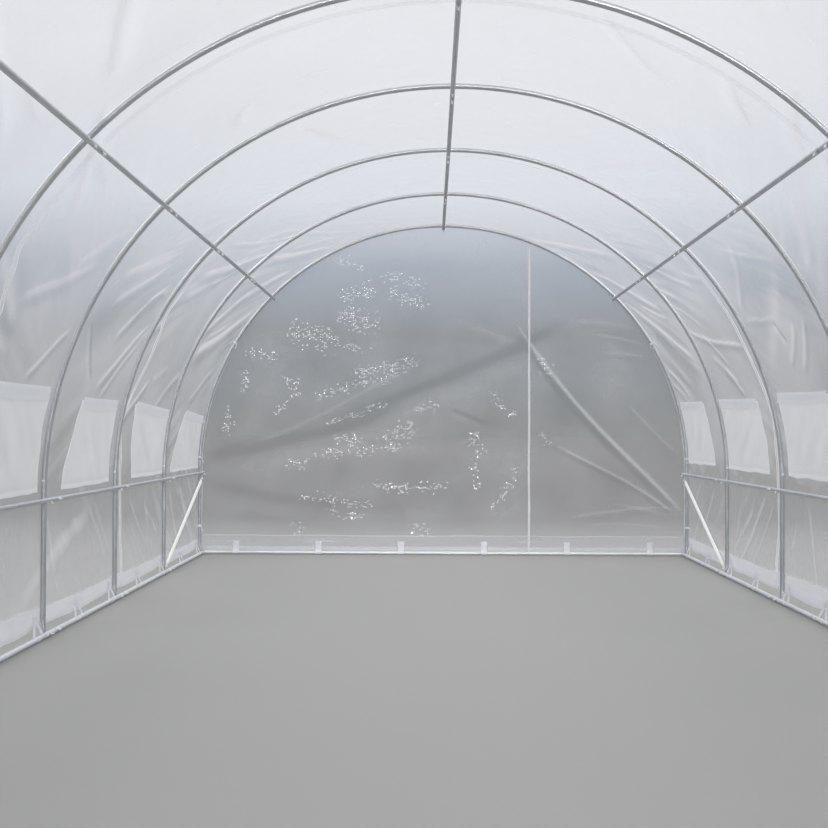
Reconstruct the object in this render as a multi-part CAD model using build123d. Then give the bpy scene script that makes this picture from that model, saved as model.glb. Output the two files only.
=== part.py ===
from build123d import *
import math
import os

# Walk-in polytunnel greenhouse: seven galvanised tube hoops on straight legs, joined by
# purlins and rails, under a clear film cover with mesh side windows, a closed rear wall
# and a front wall whose doorway stands open under its rolled-up door.
# X runs across the tunnel, Y along it towards the closed rear wall, Z up from the ground.
# The origin is the middle of the ground that the tunnel covers. Sizes are millimetres.

# Frame
WIDTH = 3000.0  # over the hoop tubes
BAY_LENGTH = 1000.0
BAY_COUNT = 6
LEG_HEIGHT = 530.0  # the hoops bend from here up
TUBE = 20.0  # hoops and legs
RAIL = 18.0  # purlins, waist rails and base rails
TUBE_WALL = 1.0
SPIGOT_LENGTH = 40.0  # swaged end that plugs into the next tube
SWAGE_TAPER = 8.0
JOINT_PAST_HOOP = 75.0  # where a purlin's next tube starts
SHOULDER_ANGLE = 45.0  # the shoulder purlins' place on the hoop, from level
WAIST_BELOW_HOOP = 30.0  # from the legs' tops down to the waist rail
BASE_RAIL_HEIGHT = 13.0
FOOT_FLAT = 32.0  # pinched part of a leg's foot
FOOT_TAPER = 30.0
FOOT_WIDTH = 27.0
FOOT_THICKNESS = 7.0
BRACE_TUBE = 18.0
BRACE_FLAT_WIDTH = 25.0  # of its pinched ends
BRACE_FLAT_THICKNESS = 4.0
BRACE_FLAT_REACH = 12.0  # from the bolt to where the pinched end widens into the tube
BRACE_TAPER = 30.0
BRACE_FOOT_HEIGHT = 38.0  # of the lower bolt
BRACE_TOP_DROP = 38.0  # from the waist rail's middle down to the upper bolt

# Cover
FILM = 2.0
HEM_EXTRA = 1.0  # the hem is film folded double
SIDE_HEM_BOTTOM = 45.0
SIDE_HEM_HEIGHT = 120.0
END_HEM_BOTTOM = 15.0
END_HEM_HEIGHT = 105.0
COVER_OVERHANG = 10.0  # past the end walls
PANEL_BAYS = 2  # bays under one width of film
WALL_SEAM_X = 530.0

# Side windows
WINDOW_LENGTH = 680.0
WINDOW_SILL_RISE = 15.0  # over the legs' tops
WINDOW_HEIGHT = 365.0
WINDOW_SHIFT = 100.0  # from the middle of the bay towards the rear
WINDOW_HEADER = 45.0
HEADER_THICKNESS = 1.5

# Doorway and rolled-up door
DOOR_WIDTH = 1300.0
DOOR_HEADROOM = 330.0  # of wall over the doorway, up to the crown
DOOR_ROLL = 84.0
DOOR_TIE_SPREAD = 800.0

# Webbing
STRAP_THICKNESS = 1.2
SIDE_STRAP_WIDTH = 14.0
SIDE_STRAP_SPREAD = 92.0  # between the two legs of a loop, on the rail
SIDE_STRAP_RISE = 34.0  # of the sewn top over the hem's lower edge
SIDE_STRAP_SHIFT = -75.0  # from the hoop towards the front
END_STRAP_WIDTH = 36.0
END_STRAP_PITCH = 507.0
END_STRAP_COUNT = 6
END_STRAP_TOP = 82.0
TIE_WIDTH = 25.0

SEAT = 0.3  # between pieces that rest on each other

hoop_radius = (WIDTH - TUBE) / 2
tunnel_half = BAY_LENGTH * BAY_COUNT / 2
hoop_places = [i * BAY_LENGTH - tunnel_half for i in range(BAY_COUNT + 1)]
rail_offset = TUBE / 2 + SEAT + RAIL / 2
rail_x = hoop_radius - rail_offset
rail_inner_x = rail_x - RAIL / 2
waist_height = LEG_HEIGHT - WAIST_BELOW_HOOP
frame_end = tunnel_half + TUBE / 2
cover_inner = WIDTH / 2 + SEAT
wall_inner_y = tunnel_half + max(TUBE, FOOT_WIDTH) / 2 + SEAT
cover_end = wall_inner_y + FILM + HEM_EXTRA + COVER_OVERHANG
end_rail_y = wall_inner_y - SEAT - STRAP_THICKNESS - SEAT - RAIL / 2
door_height = LEG_HEIGHT + WIDTH / 2 - DOOR_HEADROOM
wall_radius = WIDTH / 2 - SEAT
window_top = LEG_HEIGHT + WINDOW_SILL_RISE + WINDOW_HEIGHT


def spigot_radius(tube):
    return tube / 2 - TUBE_WALL - SEAT


def socket_radius(tube):
    return tube / 2 - TUBE_WALL


def arc_tube(radius, angle, y):
    """Bent round bar that rises from the right-hand spring point through an angle."""
    section = Plane((hoop_radius, y, LEG_HEIGHT)) * Circle(radius)
    centre_line = Axis((0, y, LEG_HEIGHT), (0, -1, 0))
    return revolve(section, axis=centre_line, revolution_arc=angle)


def both_sides(right):
    """A piece and its mirror image on the other side of the tunnel."""
    return right + mirror(right, about=Plane.YZ)


def hoop(y):
    """Half-round hoop, open at both ends for the legs' swaged tops."""
    socket_angle = math.degrees((SPIGOT_LENGTH + SEAT) / hoop_radius)
    return arc_tube(TUBE / 2, 180, y) - both_sides(
        arc_tube(socket_radius(TUBE), socket_angle, y)
    )


def leg_pair(y):
    """Straight legs with pinched feet and a swaged top that goes into the hoop."""
    flat_x = hoop_radius - TUBE / 2 + FOOT_THICKNESS / 2
    foot_outline = Ellipse(FOOT_THICKNESS / 2, FOOT_WIDTH / 2)
    foot = extrude(Plane((flat_x, y, 0)) * foot_outline, FOOT_FLAT)
    neck = loft(
        [
            Plane((flat_x, y, FOOT_FLAT)) * foot_outline,
            Plane((hoop_radius, y, FOOT_FLAT + FOOT_TAPER)) * Circle(TUBE / 2),
        ]
    )
    post_bottom = FOOT_FLAT + FOOT_TAPER
    post = extrude(
        Plane((hoop_radius, y, post_bottom)) * Circle(TUBE / 2),
        LEG_HEIGHT - SEAT - post_bottom,
    )
    spigot_root = extrude(
        Plane((hoop_radius, y, post_bottom)) * Circle(spigot_radius(TUBE)),
        LEG_HEIGHT - post_bottom,
    )
    spigot_angle = math.degrees(SPIGOT_LENGTH / hoop_radius)
    spigot = arc_tube(spigot_radius(TUBE), spigot_angle, y)
    return both_sides(foot + neck + post + spigot_root + spigot)


def rail_tube(x, z, start, end, open_front, plugged_rear):
    """One length of rail along Y, turned about its own axis."""
    radius = RAIL / 2
    length = end - start
    outline = [(0, 0), (radius, 0)]
    if open_front:
        depth = SPIGOT_LENGTH + SEAT
        outline = [
            (0, depth),
            (socket_radius(RAIL), depth),
            (socket_radius(RAIL), 0),
            (radius, 0),
        ]
    if plugged_rear:
        outline += [
            (radius, length - SWAGE_TAPER),
            (spigot_radius(RAIL), length),
            (spigot_radius(RAIL), length + SPIGOT_LENGTH),
            (0, length + SPIGOT_LENGTH),
        ]
    else:
        outline += [(radius, length), (0, length)]
    profile = make_face(Polyline(outline, close=True))
    along_y = Plane((x, start, z), x_dir=(1, 0, 0), z_dir=(0, 1, 0))
    upright = Plane.XZ * profile
    return along_y * revolve(upright, axis=Axis.Z)


def rail(x, z):
    """A run of rail tubes, each plugged into the next just past a hoop."""
    joints = [y + JOINT_PAST_HOOP for y in hoop_places[1:-1]]
    starts = [-frame_end] + joints
    ends = [y - SEAT for y in joints] + [frame_end]
    tubes = []
    for number, (start, end) in enumerate(zip(starts, ends)):
        last = number == len(joints)
        tubes.append(rail_tube(x, z, start, end, number > 0, not last))
    return Compound(children=tubes)


def end_rail(y):
    """Base rail across an end, between the side base rails."""
    half = rail_inner_x - SEAT
    level = Plane((-half, y, BASE_RAIL_HEIGHT), x_dir=(0, 1, 0), z_dir=(1, 0, 0))
    return extrude(level * Circle(RAIL / 2), 2 * half)


def pinched_end():
    """Flattened end of a brace, along Z from its bolt at the origin."""
    section = Ellipse(BRACE_FLAT_THICKNESS / 2, BRACE_FLAT_WIDTH / 2)
    slot = Plane.YZ * SlotCenterToCenter(2 * BRACE_FLAT_REACH, BRACE_FLAT_WIDTH, rotation=90)
    slot = Pos(0, 0, BRACE_FLAT_REACH) * slot
    bar = extrude(
        Plane((0, 0, -BRACE_FLAT_WIDTH / 2)) * section,
        BRACE_FLAT_WIDTH / 2 + BRACE_FLAT_REACH,
    )
    flat = bar & extrude(slot, BRACE_FLAT_THICKNESS, both=True)
    neck = loft(
        [
            Plane((0, 0, BRACE_FLAT_REACH)) * section,
            Plane((0, 0, BRACE_FLAT_REACH + BRACE_TAPER)) * Circle(BRACE_TUBE / 2),
        ]
    )
    return flat + neck


def brace(side, end):
    """Corner brace of tube, its pinched ends bolted inside the end leg and the next one."""
    x = side * (hoop_radius - TUBE / 2 - SEAT - BRACE_FLAT_THICKNESS / 2)
    top = Vector(x, end * tunnel_half, waist_height - BRACE_TOP_DROP)
    foot = Vector(x, end * (tunnel_half - BAY_LENGTH), BRACE_FOOT_HEIGHT)
    run = top - foot
    shaft_start = BRACE_FLAT_REACH + BRACE_TAPER
    shaft = extrude(
        Plane((0, 0, shaft_start)) * Circle(BRACE_TUBE / 2), run.length - 2 * shaft_start
    )
    upper_end = mirror(pinched_end(), about=Plane.XY.offset(run.length / 2))
    upright = pinched_end() + shaft + upper_end
    return Plane(foot, x_dir=(1, 0, 0), z_dir=run) * upright


def arch_face(radius, bottom):
    """Upright outline of the tunnel: straight sides under a half round, facing -Y."""
    sides = Pos(0, (bottom + LEG_HEIGHT) / 2) * Rectangle(
        2 * radius, LEG_HEIGHT - bottom
    )
    return Plane.XZ * (sides + Pos(0, LEG_HEIGHT) * Circle(radius))


def arch_block(radius, bottom, front, rear):
    """The tunnel's outline as a solid from front to rear."""
    below = Pos(0, 0, bottom - radius) * Box(
        4 * radius,
        4 * (tunnel_half + radius),
        2 * radius,
    )
    solid = Pos(0, front, 0) * extrude(arch_face(radius, bottom), -(rear - front))
    return solid - below


def arch_shell(inner, thickness, bottom, front, rear):
    return arch_block(inner + thickness, bottom, front, rear) - arch_block(
        inner, bottom, front, rear
    )


def window_block(margin):
    """Room that one right-hand window fills, at the middle of the tunnel's length."""
    height = WINDOW_HEIGHT - 2 * margin
    centre_z = window_top - WINDOW_HEIGHT / 2
    return Pos(WIDTH / 2, WINDOW_SHIFT, centre_z) * Box(
        WIDTH / 2, WINDOW_LENGTH - 2 * margin, height
    )


def bay_middles():
    return [y + BAY_LENGTH / 2 for y in hoop_places[:-1]]


def cover_panel(front, rear):
    """One width of film over the hoops, with its side hems and window cut-outs."""
    panel = arch_shell(cover_inner, FILM, SIDE_HEM_BOTTOM, front, rear)
    hem = Pos(
        cover_inner + (FILM + HEM_EXTRA) / 2,
        (front + rear) / 2,
        SIDE_HEM_BOTTOM + SIDE_HEM_HEIGHT / 2,
    ) * Box(FILM + HEM_EXTRA, rear - front, SIDE_HEM_HEIGHT)
    panel += both_sides(hem)
    for middle in bay_middles():
        if front < middle < rear:
            panel -= Pos(0, middle, 0) * both_sides(window_block(0))
    return panel


def windows(side):
    """Mesh panes that fill the cut-outs of one side of the cover."""
    front, rear = -cover_end, cover_end
    skin = arch_shell(cover_inner, FILM, SIDE_HEM_BOTTOM, front, rear)
    panes = []
    for middle in bay_middles():
        pane = skin & (Pos(0, middle, 0) * window_block(SEAT))
        panes.append(pane if side > 0 else mirror(pane, about=Plane.YZ))
    return Compound(children=[pane.solids()[0] for pane in panes])


def window_headers(side):
    """Bands inside the cover along the windows' upper edges."""
    inner = cover_inner - SEAT - HEADER_THICKNESS
    band = arch_shell(inner, HEADER_THICKNESS, SIDE_HEM_BOTTOM, -cover_end, cover_end)
    headers = []
    for middle in bay_middles():
        room = Pos(WIDTH / 2, middle + WINDOW_SHIFT, window_top) * Box(
            WIDTH / 2, WINDOW_LENGTH, WINDOW_HEADER
        )
        header = band & room
        headers.append(header if side > 0 else mirror(header, about=Plane.YZ))
    return Compound(children=[header.solids()[0] for header in headers])


def end_wall():
    """The whole rear wall of film, with its hem."""
    wall = arch_block(
        wall_radius, END_HEM_BOTTOM, wall_inner_y, wall_inner_y + FILM
    )
    hem = Pos(
        0,
        wall_inner_y + (FILM + HEM_EXTRA) / 2,
        END_HEM_BOTTOM + END_HEM_HEIGHT / 2,
    ) * Box(2 * wall_radius, FILM + HEM_EXTRA, END_HEM_HEIGHT)
    return wall + hem


def wall_part(left, right):
    """The rear wall between two widths of film."""
    room = Pos((left + right) / 2, wall_inner_y, WIDTH / 2) * Box(
        right - left, WIDTH / 2, 2 * WIDTH
    )
    return end_wall() & room


def front_wall():
    """Mirror of the rear wall, with the doorway cut through it."""
    doorway = Pos(0, -wall_inner_y, door_height / 2) * Box(
        DOOR_WIDTH, WIDTH / 2, door_height
    )
    return mirror(end_wall(), about=Plane.XZ) - doorway


roll_y = -(wall_inner_y - SEAT - STRAP_THICKNESS - SEAT - DOOR_ROLL / 2)
roll_z = door_height + DOOR_ROLL / 2


def door_roll():
    """The door film, rolled up inside the wall over the doorway."""
    across = Plane((-DOOR_WIDTH / 2, roll_y, roll_z), x_dir=(0, 1, 0), z_dir=(1, 0, 0))
    return extrude(across * Circle(DOOR_ROLL / 2), DOOR_WIDTH)


def door_ties():
    """Webbing rings that hold the rolled-up door."""
    ties = []
    inner = DOOR_ROLL / 2 + SEAT
    for side in (-1, 1):
        start = side * DOOR_TIE_SPREAD / 2 - TIE_WIDTH / 2
        across = Plane((start, roll_y, roll_z), x_dir=(0, 1, 0), z_dir=(1, 0, 0))
        ring = Circle(inner + STRAP_THICKNESS) - Circle(inner)
        ties.append(extrude(across * ring, TIE_WIDTH))
    return Compound(children=[tie.solids()[0] for tie in ties])


def side_strap(y):
    """Webbing loop from the right-hand hem down to the base rail, spread like an A."""
    half_thickness = STRAP_THICKNESS / 2
    foot = Vector(rail_x + RAIL / 2 + SEAT + half_thickness, y, BASE_RAIL_HEIGHT)
    top = Vector(
        cover_inner - SEAT - STRAP_THICKNESS, y, SIDE_HEM_BOTTOM + SIDE_STRAP_RISE
    )
    rise = (top - foot).length
    half = SIDE_STRAP_SPREAD / 2
    lean = math.atan2(half, rise)
    across = SIDE_STRAP_WIDTH / 2 / math.cos(lean)
    outline = [
        (-half - across, 0),
        (-half + across, 0),
        (0, rise - 2 * across / math.tan(lean)),
        (half - across, 0),
        (half + across, 0),
        (across, rise),
        (-across, rise),
    ]
    leaning = Plane(foot, x_dir=(0, 1, 0), z_dir=Vector(0, 1, 0).cross(top - foot))
    profile = leaning * make_face(Polyline(outline, close=True))
    return extrude(profile, half_thickness, both=True)


def side_straps(side):
    straps = []
    for y in hoop_places[1:]:
        for place in (y + SIDE_STRAP_SHIFT, y + SIDE_STRAP_SHIFT - BAY_LENGTH / 2):
            strap = side_strap(place)
            straps.append(strap if side > 0 else mirror(strap, about=Plane.YZ))
    return Compound(children=[strap.solids()[0] for strap in straps])


def end_straps(end):
    """Upright webbing bands on the wall's hem."""
    y = end * (wall_inner_y - SEAT - STRAP_THICKNESS / 2)
    bottom = BASE_RAIL_HEIGHT - RAIL / 2
    height = END_STRAP_TOP - bottom
    straps = []
    for number in range(END_STRAP_COUNT):
        x = (number - (END_STRAP_COUNT - 1) / 2) * END_STRAP_PITCH
        if end > 0 or abs(x) - END_STRAP_WIDTH / 2 > DOOR_WIDTH / 2:
            band = Box(END_STRAP_WIDTH, STRAP_THICKNESS, height)
            straps.append(Pos(x, y, bottom + height / 2) * band)
    return Compound(children=[strap.solids()[0] for strap in straps])


shoulder = math.radians(SHOULDER_ANGLE)
shoulder_x = rail_x * math.cos(shoulder)
shoulder_z = LEG_HEIGHT + rail_x * math.sin(shoulder)

nodes = {
    "ridge_purlin": rail(0, LEG_HEIGHT + rail_x),
    "rear_base_rail": end_rail(end_rail_y),
    "front_base_rail": end_rail(-end_rail_y),
    "rear_wall_wide": wall_part(-WIDTH, WALL_SEAM_X),
    "rear_wall_narrow": wall_part(WALL_SEAM_X, WIDTH),
    "front_wall": front_wall(),
    "door_roll": door_roll(),
    "door_ties": door_ties(),
    "rear_straps": end_straps(1),
    "front_straps": end_straps(-1),
}
for number, y in enumerate(hoop_places, start=1):
    nodes[f"hoop_{number}"] = hoop(y)
    nodes[f"legs_{number}"] = leg_pair(y)
for name, side in (("left", -1), ("right", 1)):
    nodes[f"{name}_shoulder_purlin"] = rail(side * shoulder_x, shoulder_z)
    nodes[f"{name}_waist_rail"] = rail(side * rail_x, waist_height)
    nodes[f"{name}_base_rail"] = rail(side * rail_x, BASE_RAIL_HEIGHT)
    nodes[f"{name}_windows"] = windows(side)
    nodes[f"{name}_window_headers"] = window_headers(side)
    nodes[f"{name}_straps"] = side_straps(side)
    nodes[f"rear_{name}_brace"] = brace(side, 1)
    nodes[f"front_{name}_brace"] = brace(side, -1)
panel_edges = hoop_places[::PANEL_BAYS]
panel_edges[0] = -cover_end
panel_edges[-1] = cover_end
for name, front, rear in zip(
    ("front", "middle", "rear"), panel_edges[:-1], panel_edges[1:]
):
    nodes[f"cover_{name}"] = cover_panel(front, rear)

os.makedirs("parts", exist_ok=True)
for name, shape in nodes.items():
    export_step(shape, f"parts/{name}.step")
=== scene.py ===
import functools
import math

import bpy
import numpy as np
from bpy.props import FloatProperty, FloatVectorProperty, IntProperty, PointerProperty
from mathutils import Matrix, Vector, noise


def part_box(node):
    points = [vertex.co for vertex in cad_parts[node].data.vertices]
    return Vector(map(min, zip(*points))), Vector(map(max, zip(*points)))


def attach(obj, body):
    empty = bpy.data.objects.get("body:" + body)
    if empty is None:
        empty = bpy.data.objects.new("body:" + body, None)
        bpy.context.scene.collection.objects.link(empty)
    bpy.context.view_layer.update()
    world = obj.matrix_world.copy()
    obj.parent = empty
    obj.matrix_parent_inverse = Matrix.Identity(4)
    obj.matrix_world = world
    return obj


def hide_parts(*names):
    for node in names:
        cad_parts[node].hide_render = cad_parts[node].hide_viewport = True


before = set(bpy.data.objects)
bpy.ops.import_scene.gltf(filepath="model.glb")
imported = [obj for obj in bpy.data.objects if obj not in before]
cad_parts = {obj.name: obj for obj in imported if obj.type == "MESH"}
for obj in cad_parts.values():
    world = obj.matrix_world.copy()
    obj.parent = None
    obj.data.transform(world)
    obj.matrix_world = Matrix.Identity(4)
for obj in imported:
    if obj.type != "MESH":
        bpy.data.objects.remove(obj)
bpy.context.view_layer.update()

bl_info = {
    "name": "Polytunnel greenhouse",
    "version": (1, 0, 0),
    "blender": (4, 5, 0),
    "location": "View3D > Sidebar > Polytunnel",
    "description": "Film, windows, webbing, bolts and finishes for a tube-framed polytunnel",
    "category": "Object",
}


# Chosen values, in metres unless they say otherwise

FILM_OVER_TUBE = 0.0013  # from a hoop's outside to the middle of the film
JOINT_PAST_HOOP = 0.075
BOLT_PAST_HOOP = JOINT_PAST_HOOP + 0.022
LEG_BOLT_TURN = 0.027  # radians round the hoop from the leg's top
LEG_BOLT_RISE = 0.04
FLAT_HALF = 0.0125  # from a brace's end to its bolt
FOOT_BOLT_INSET = 0.007  # from a leg's inside to the middle of its foot bolt
STRAP_PITCH = 0.507
WALL_TIE_HEIGHTS = (1.298, 0.594, 0.173)
DOOR_TIE_X = 0.4
FOCAL_LENGTH = 1207.3 / 828  # in widths of the picture


# Places taken from the frame

def middle(node):
    low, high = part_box(node)
    return (low + high) / 2


hoops = sorted(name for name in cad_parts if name.startswith("hoop_"))
hoop_low, hoop_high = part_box(hoops[0])
half_width = hoop_high.x
leg_top = hoop_low.z
tube_radius = (hoop_high.y - hoop_low.y) / 2
hoop_radius = half_width - tube_radius
hoop_places = [middle(name).y for name in hoops]
bay = hoop_places[1] - hoop_places[0]
panels = {name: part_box(f"cover_{name}") for name in ("front", "middle", "rear")}
film_bottom = panels["middle"][0].z
film_radius = half_width + FILM_OVER_TUBE
straight = leg_top - film_bottom
half_round = straight + math.pi * film_radius / 2
wall_low, wall_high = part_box("rear_wall_wide")
wall_place = wall_low.y + 0.001
wall_bottom = wall_low.z
wall_radius = -wall_low.x
seam_x = wall_high.x
window_low, window_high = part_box("right_windows")
window_gap = 0.0003
window_length = window_high.y - window_low.y + 2 * window_gap - bay * (len(hoops) - 2)
window_starts = [window_low.y - window_gap + i * bay for i in range(len(hoops) - 1)]
rail_radius = (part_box("ridge_purlin")[1].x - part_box("ridge_purlin")[0].x) / 2
ridge = middle("ridge_purlin")
waist = middle("right_waist_rail")
base_rail = middle("right_base_rail")
end_rail = middle("rear_base_rail")
shoulder = middle("right_shoulder_purlin")
door_low, door_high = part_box("door_roll")
door_half = door_high.x
door_top = door_low.z


# Sizes and colours that a user would change

class TunnelSizes(bpy.types.PropertyGroup):
    """Sizes of what is sewn, welded and bolted to the frame."""

    film_pitch: FloatProperty(
        name="Film mesh", description="Largest grid step of the cover film",
        default=0.0125, min=0.008, subtype="DISTANCE", unit="LENGTH",
    )
    wall_pitch: FloatProperty(
        name="Wall mesh", description="Largest grid step of the end walls",
        default=0.0095, min=0.006, subtype="DISTANCE", unit="LENGTH",
    )
    film_sag: FloatProperty(
        name="Film sag", description="How far taut film pulls in between two hoops",
        default=0.008, min=0.0, max=0.012, subtype="DISTANCE", unit="LENGTH",
    )
    fold_height: FloatProperty(
        name="Fold height", description="Height of the film's tension folds",
        default=0.006, min=0.0, max=0.012, subtype="DISTANCE", unit="LENGTH",
    )
    wall_swell: FloatProperty(
        name="Wall swell", description="How far the end walls bow in and out",
        default=0.012, min=0.0, max=0.03, subtype="DISTANCE", unit="LENGTH",
    )
    seam_width: FloatProperty(
        name="Weld seam", description="Width of a weld between two widths of film",
        default=0.013, min=0.005, subtype="DISTANCE", unit="LENGTH",
    )
    hem_height: FloatProperty(
        name="Side hem", description="Height of the hem along the cover's sides",
        default=0.12, min=0.05, subtype="DISTANCE", unit="LENGTH",
    )
    wall_hem_height: FloatProperty(
        name="Wall hem", description="Height of the hem along the end walls",
        default=0.105, min=0.05, subtype="DISTANCE", unit="LENGTH",
    )
    webbing_thickness: FloatProperty(
        name="Webbing", description="Thickness of the woven straps",
        default=0.0012, min=0.0005, subtype="DISTANCE", unit="LENGTH",
    )
    bolt_radius: FloatProperty(
        name="Bolt", description="Radius of the bolts' threads",
        default=0.0025, min=0.002, subtype="DISTANCE", unit="LENGTH",
    )
    roll_turns: IntProperty(
        name="Door turns", description="Turns of film in the rolled-up door",
        default=11, min=4, max=14,
    )


class TunnelColours(bpy.types.PropertyGroup):
    """Colours of the finishes."""

    film: FloatVectorProperty(
        name="Film", description="Tint of the clear film", subtype="COLOR",
        default=(0.865, 0.87, 0.89), min=0.0, max=1.0,
    )
    netting: FloatVectorProperty(
        name="Netting", description="Colour of the window mesh", subtype="COLOR",
        default=(0.93, 0.94, 0.95), min=0.0, max=1.0,
    )
    webbing: FloatVectorProperty(
        name="Webbing", description="Colour of the woven straps", subtype="COLOR",
        default=(0.96, 0.95, 1.0), min=0.0, max=1.0,
    )
    zinc: FloatVectorProperty(
        name="Zinc", description="Lighter tone of the galvanised tubes", subtype="COLOR",
        default=(0.64, 0.66, 0.68), min=0.0, max=1.0,
    )
    brace: FloatVectorProperty(
        name="Brace", description="Off-white of the corner braces", subtype="COLOR",
        default=(0.88, 0.88, 0.85), min=0.0, max=1.0,
    )
    floor: FloatVectorProperty(
        name="Floor", description="Colour of the studio floor", subtype="COLOR",
        default=(0.36, 0.36, 0.35), min=0.0, max=1.0,
    )


def sizes():
    return bpy.context.scene.tunnel_sizes


def colours():
    return bpy.context.scene.tunnel_colours


# Finishes

class Nodes:
    """Builds the nodes of a material or a sky. Most methods give back an output."""

    def __init__(self, owner):
        owner.use_nodes = True
        self.owner, self.tree = owner, owner.node_tree
        self.tree.nodes.clear()

    def node(self, kind, inputs=None, **settings):
        """Adds a node, with its settings, its numbers and what is plugged into it."""
        node = self.tree.nodes.new("ShaderNode" + kind)
        for name, value in settings.items():
            setattr(node, name, value)
        for socket, value in (inputs or {}).items():
            if isinstance(value, bpy.types.NodeSocket):
                self.tree.links.new(value, node.inputs[socket])
            else:
                node.inputs[socket].default_value = value
        return node

    def add(self, kind, inputs=None, output=0, **settings):
        return self.node(kind, inputs, **settings).outputs[output]

    def place(self):
        return self.add("TexCoord", output="Object")

    def mark(self, name):
        return self.add("Attribute", output="Fac", attribute_name=name)

    def noise(self, vector, scale, output="Fac", **numbers):
        inputs = {name.title(): value for name, value in numbers.items()}
        return self.add("TexNoise", {"Vector": vector, "Scale": scale, **inputs}, output)

    def maths(self, operation, *values):
        return self.add("Math", dict(enumerate(values)), operation=operation)

    def blended(self, base, *parts):
        """A base number plus each socket times its share."""
        for socket, share in parts:
            base = self.maths("MULTIPLY_ADD", socket, share, base)
        return base

    def ramp(self, factor, *stops):
        """Colours along a factor, each stop a place and a colour."""
        node = self.node("ValToRGB", {"Fac": factor})
        elements = node.color_ramp.elements
        while len(elements) < len(stops):
            elements.new(1.0)
        for element, (place, colour) in zip(elements, stops):
            element.position = place
            element.color = (*colour, 1.0)
        return node.outputs[0]

    def bump(self, height, strength, distance):
        return self.add("Bump", {"Height": height, "Strength": strength, "Distance": distance})

    def gloss(self, colour, roughness, **more):
        """A surface of a colour and roughness, as bright as its other inputs make it."""
        inputs = {name.replace("_", " ").title(): value for name, value in more.items()}
        inputs.update({"Base Color": colour, "Roughness": roughness})
        return self.add("BsdfPrincipled", inputs)

    def mix(self, share, first, second):
        return self.add("MixShader", {0: share, 1: first, 2: second})

    def sheer(self, opacity, body):
        """A body that lets light straight through where it isn't opaque."""
        return self.mix(opacity, self.add("BsdfTransparent"), body)


def shade(colour, share):
    return tuple(channel * share for channel in colour)


# The fold mark makes film whiter where it is folded, welded or doubled; on fold crests this is
# partly painted highlight, and fold valleys made clearer are painted shade.
PLAIN = 0.25  # the fold mark of film that isn't folded; less than this is clearer


def glint_spots(nodes, place, creased):
    """Small facets that catch the light, the denser the more the film is crumpled."""
    lane = nodes.noise(place, 85.0, detail=2.0, distortion=0.8)
    axes = nodes.node("SeparateXYZ", {0: place}).outputs
    tall = nodes.maths("MULTIPLY", axes["Z"], 1.5)
    upright = nodes.add("CombineXYZ", {0: axes["X"], 1: tall})
    cell = nodes.node("TexVoronoi", {"Vector": upright, "Scale": 74.0}, voronoi_dimensions="2D")
    chance = nodes.add("SeparateColor", {0: cell.outputs["Color"]})
    dot = nodes.maths("LESS_THAN", cell.outputs["Distance"], 0.24)
    dot = nodes.maths("MAXIMUM", dot, nodes.maths("COMPARE", lane, 0.5, 0.012))
    lit = nodes.maths("LESS_THAN", chance, nodes.maths("MULTIPLY_ADD", creased, 0.55, -0.08))
    return nodes.maths("MULTIPLY", dot, lit)


def glint_face(nodes, place, bump):
    """Shiny facets, each tilted its own way."""
    facet = nodes.noise(place, 160.0, "Color")
    spread = {0: facet, 1: (2, 2, 2), 2: (-1, -1, -0.62)}
    lean = nodes.add("VectorMath", spread, operation="MULTIPLY_ADD")
    tilted = nodes.add("VectorMath", {0: bump, 1: lean})
    return nodes.gloss((0.97, 0.98, 1.0, 1.0), 0.12, metallic=1.0, normal=tilted)


def clear_film(nodes, haze, fold_share, edge_share, roughness, tone=1.0, glints=False):
    """Clear film: cloudy haze, whiter folds and welds, with the fold crests' whiteness partly
    painted highlight, and glints where it is crumpled.
    """
    place = nodes.place()
    cloud = nodes.noise(place, 1.7, detail=3.0, roughness=0.5)
    mist = nodes.noise(place, 9.0, detail=5.0, distortion=0.7)
    crumple = nodes.noise(place, 120.0, detail=2.0, distortion=1.0)
    fold, creased = nodes.mark("fold"), nodes.mark("crumple")
    grain = nodes.maths("MULTIPLY", crumple, nodes.blended(0.06, (creased, 1.0)))
    bump = nodes.bump(nodes.blended(grain, (mist, 0.12)), 0.8, 0.004)
    edge = nodes.add("LayerWeight", {"Blend": 0.25}, "Facing")
    shares = [(cloud, 0.18), (mist, 0.08), (fold, fold_share), (edge, edge_share)]
    if glints:
        speck = glint_spots(nodes, place, creased)
        shares.append((speck, 0.7))
    opacity = nodes.blended(haze - 0.13 - PLAIN * fold_share, *shares)
    opacity = nodes.add("Clamp", {"Value": opacity, "Min": 0.04, "Max": 0.97})
    tint = (*shade(colours().film, tone), 1.0)
    shine = nodes.blended(roughness - 0.06, (mist, 0.12), (creased, -0.2))
    glow = nodes.add("BsdfTranslucent", {"Color": tint, "Normal": bump})
    body = nodes.mix(0.45, nodes.gloss(tint, shine, normal=bump), glow)
    if glints:
        body = nodes.mix(speck, body, glint_face(nodes, place, bump))
    return nodes.sheer(opacity, body)


def window_cloth(nodes, density):
    """White woven mesh: threads with small holes between, the denser the more it hides."""
    pitch = 0.0024
    flat = nodes.node("SeparateXYZ", {0: nodes.add("UVMap")}).outputs
    across, along = (nodes.maths("PINGPONG", flat[axis], pitch / 2) for axis in "XY")
    thread = nodes.maths("LESS_THAN", nodes.maths("MINIMUM", across, along), pitch * 0.14)
    cloud = nodes.noise(nodes.place(), 6.0, detail=4.0, roughness=0.6)
    opacity = nodes.blended(
        density - 0.17 - PLAIN * 0.3, (thread, 0.18), (cloud, 0.16), (nodes.mark("fold"), 0.3)
    )
    opacity = nodes.add("Clamp", {"Value": opacity, "Max": 0.98})
    tint = (*colours().netting, 1.0)
    face = nodes.gloss(tint, 0.6, normal=nodes.bump(thread, 0.3, 0.0004))
    glow = nodes.add("BsdfTranslucent", {"Color": tint})
    return nodes.sheer(opacity, nodes.mix(0.5, face, glow))


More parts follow.
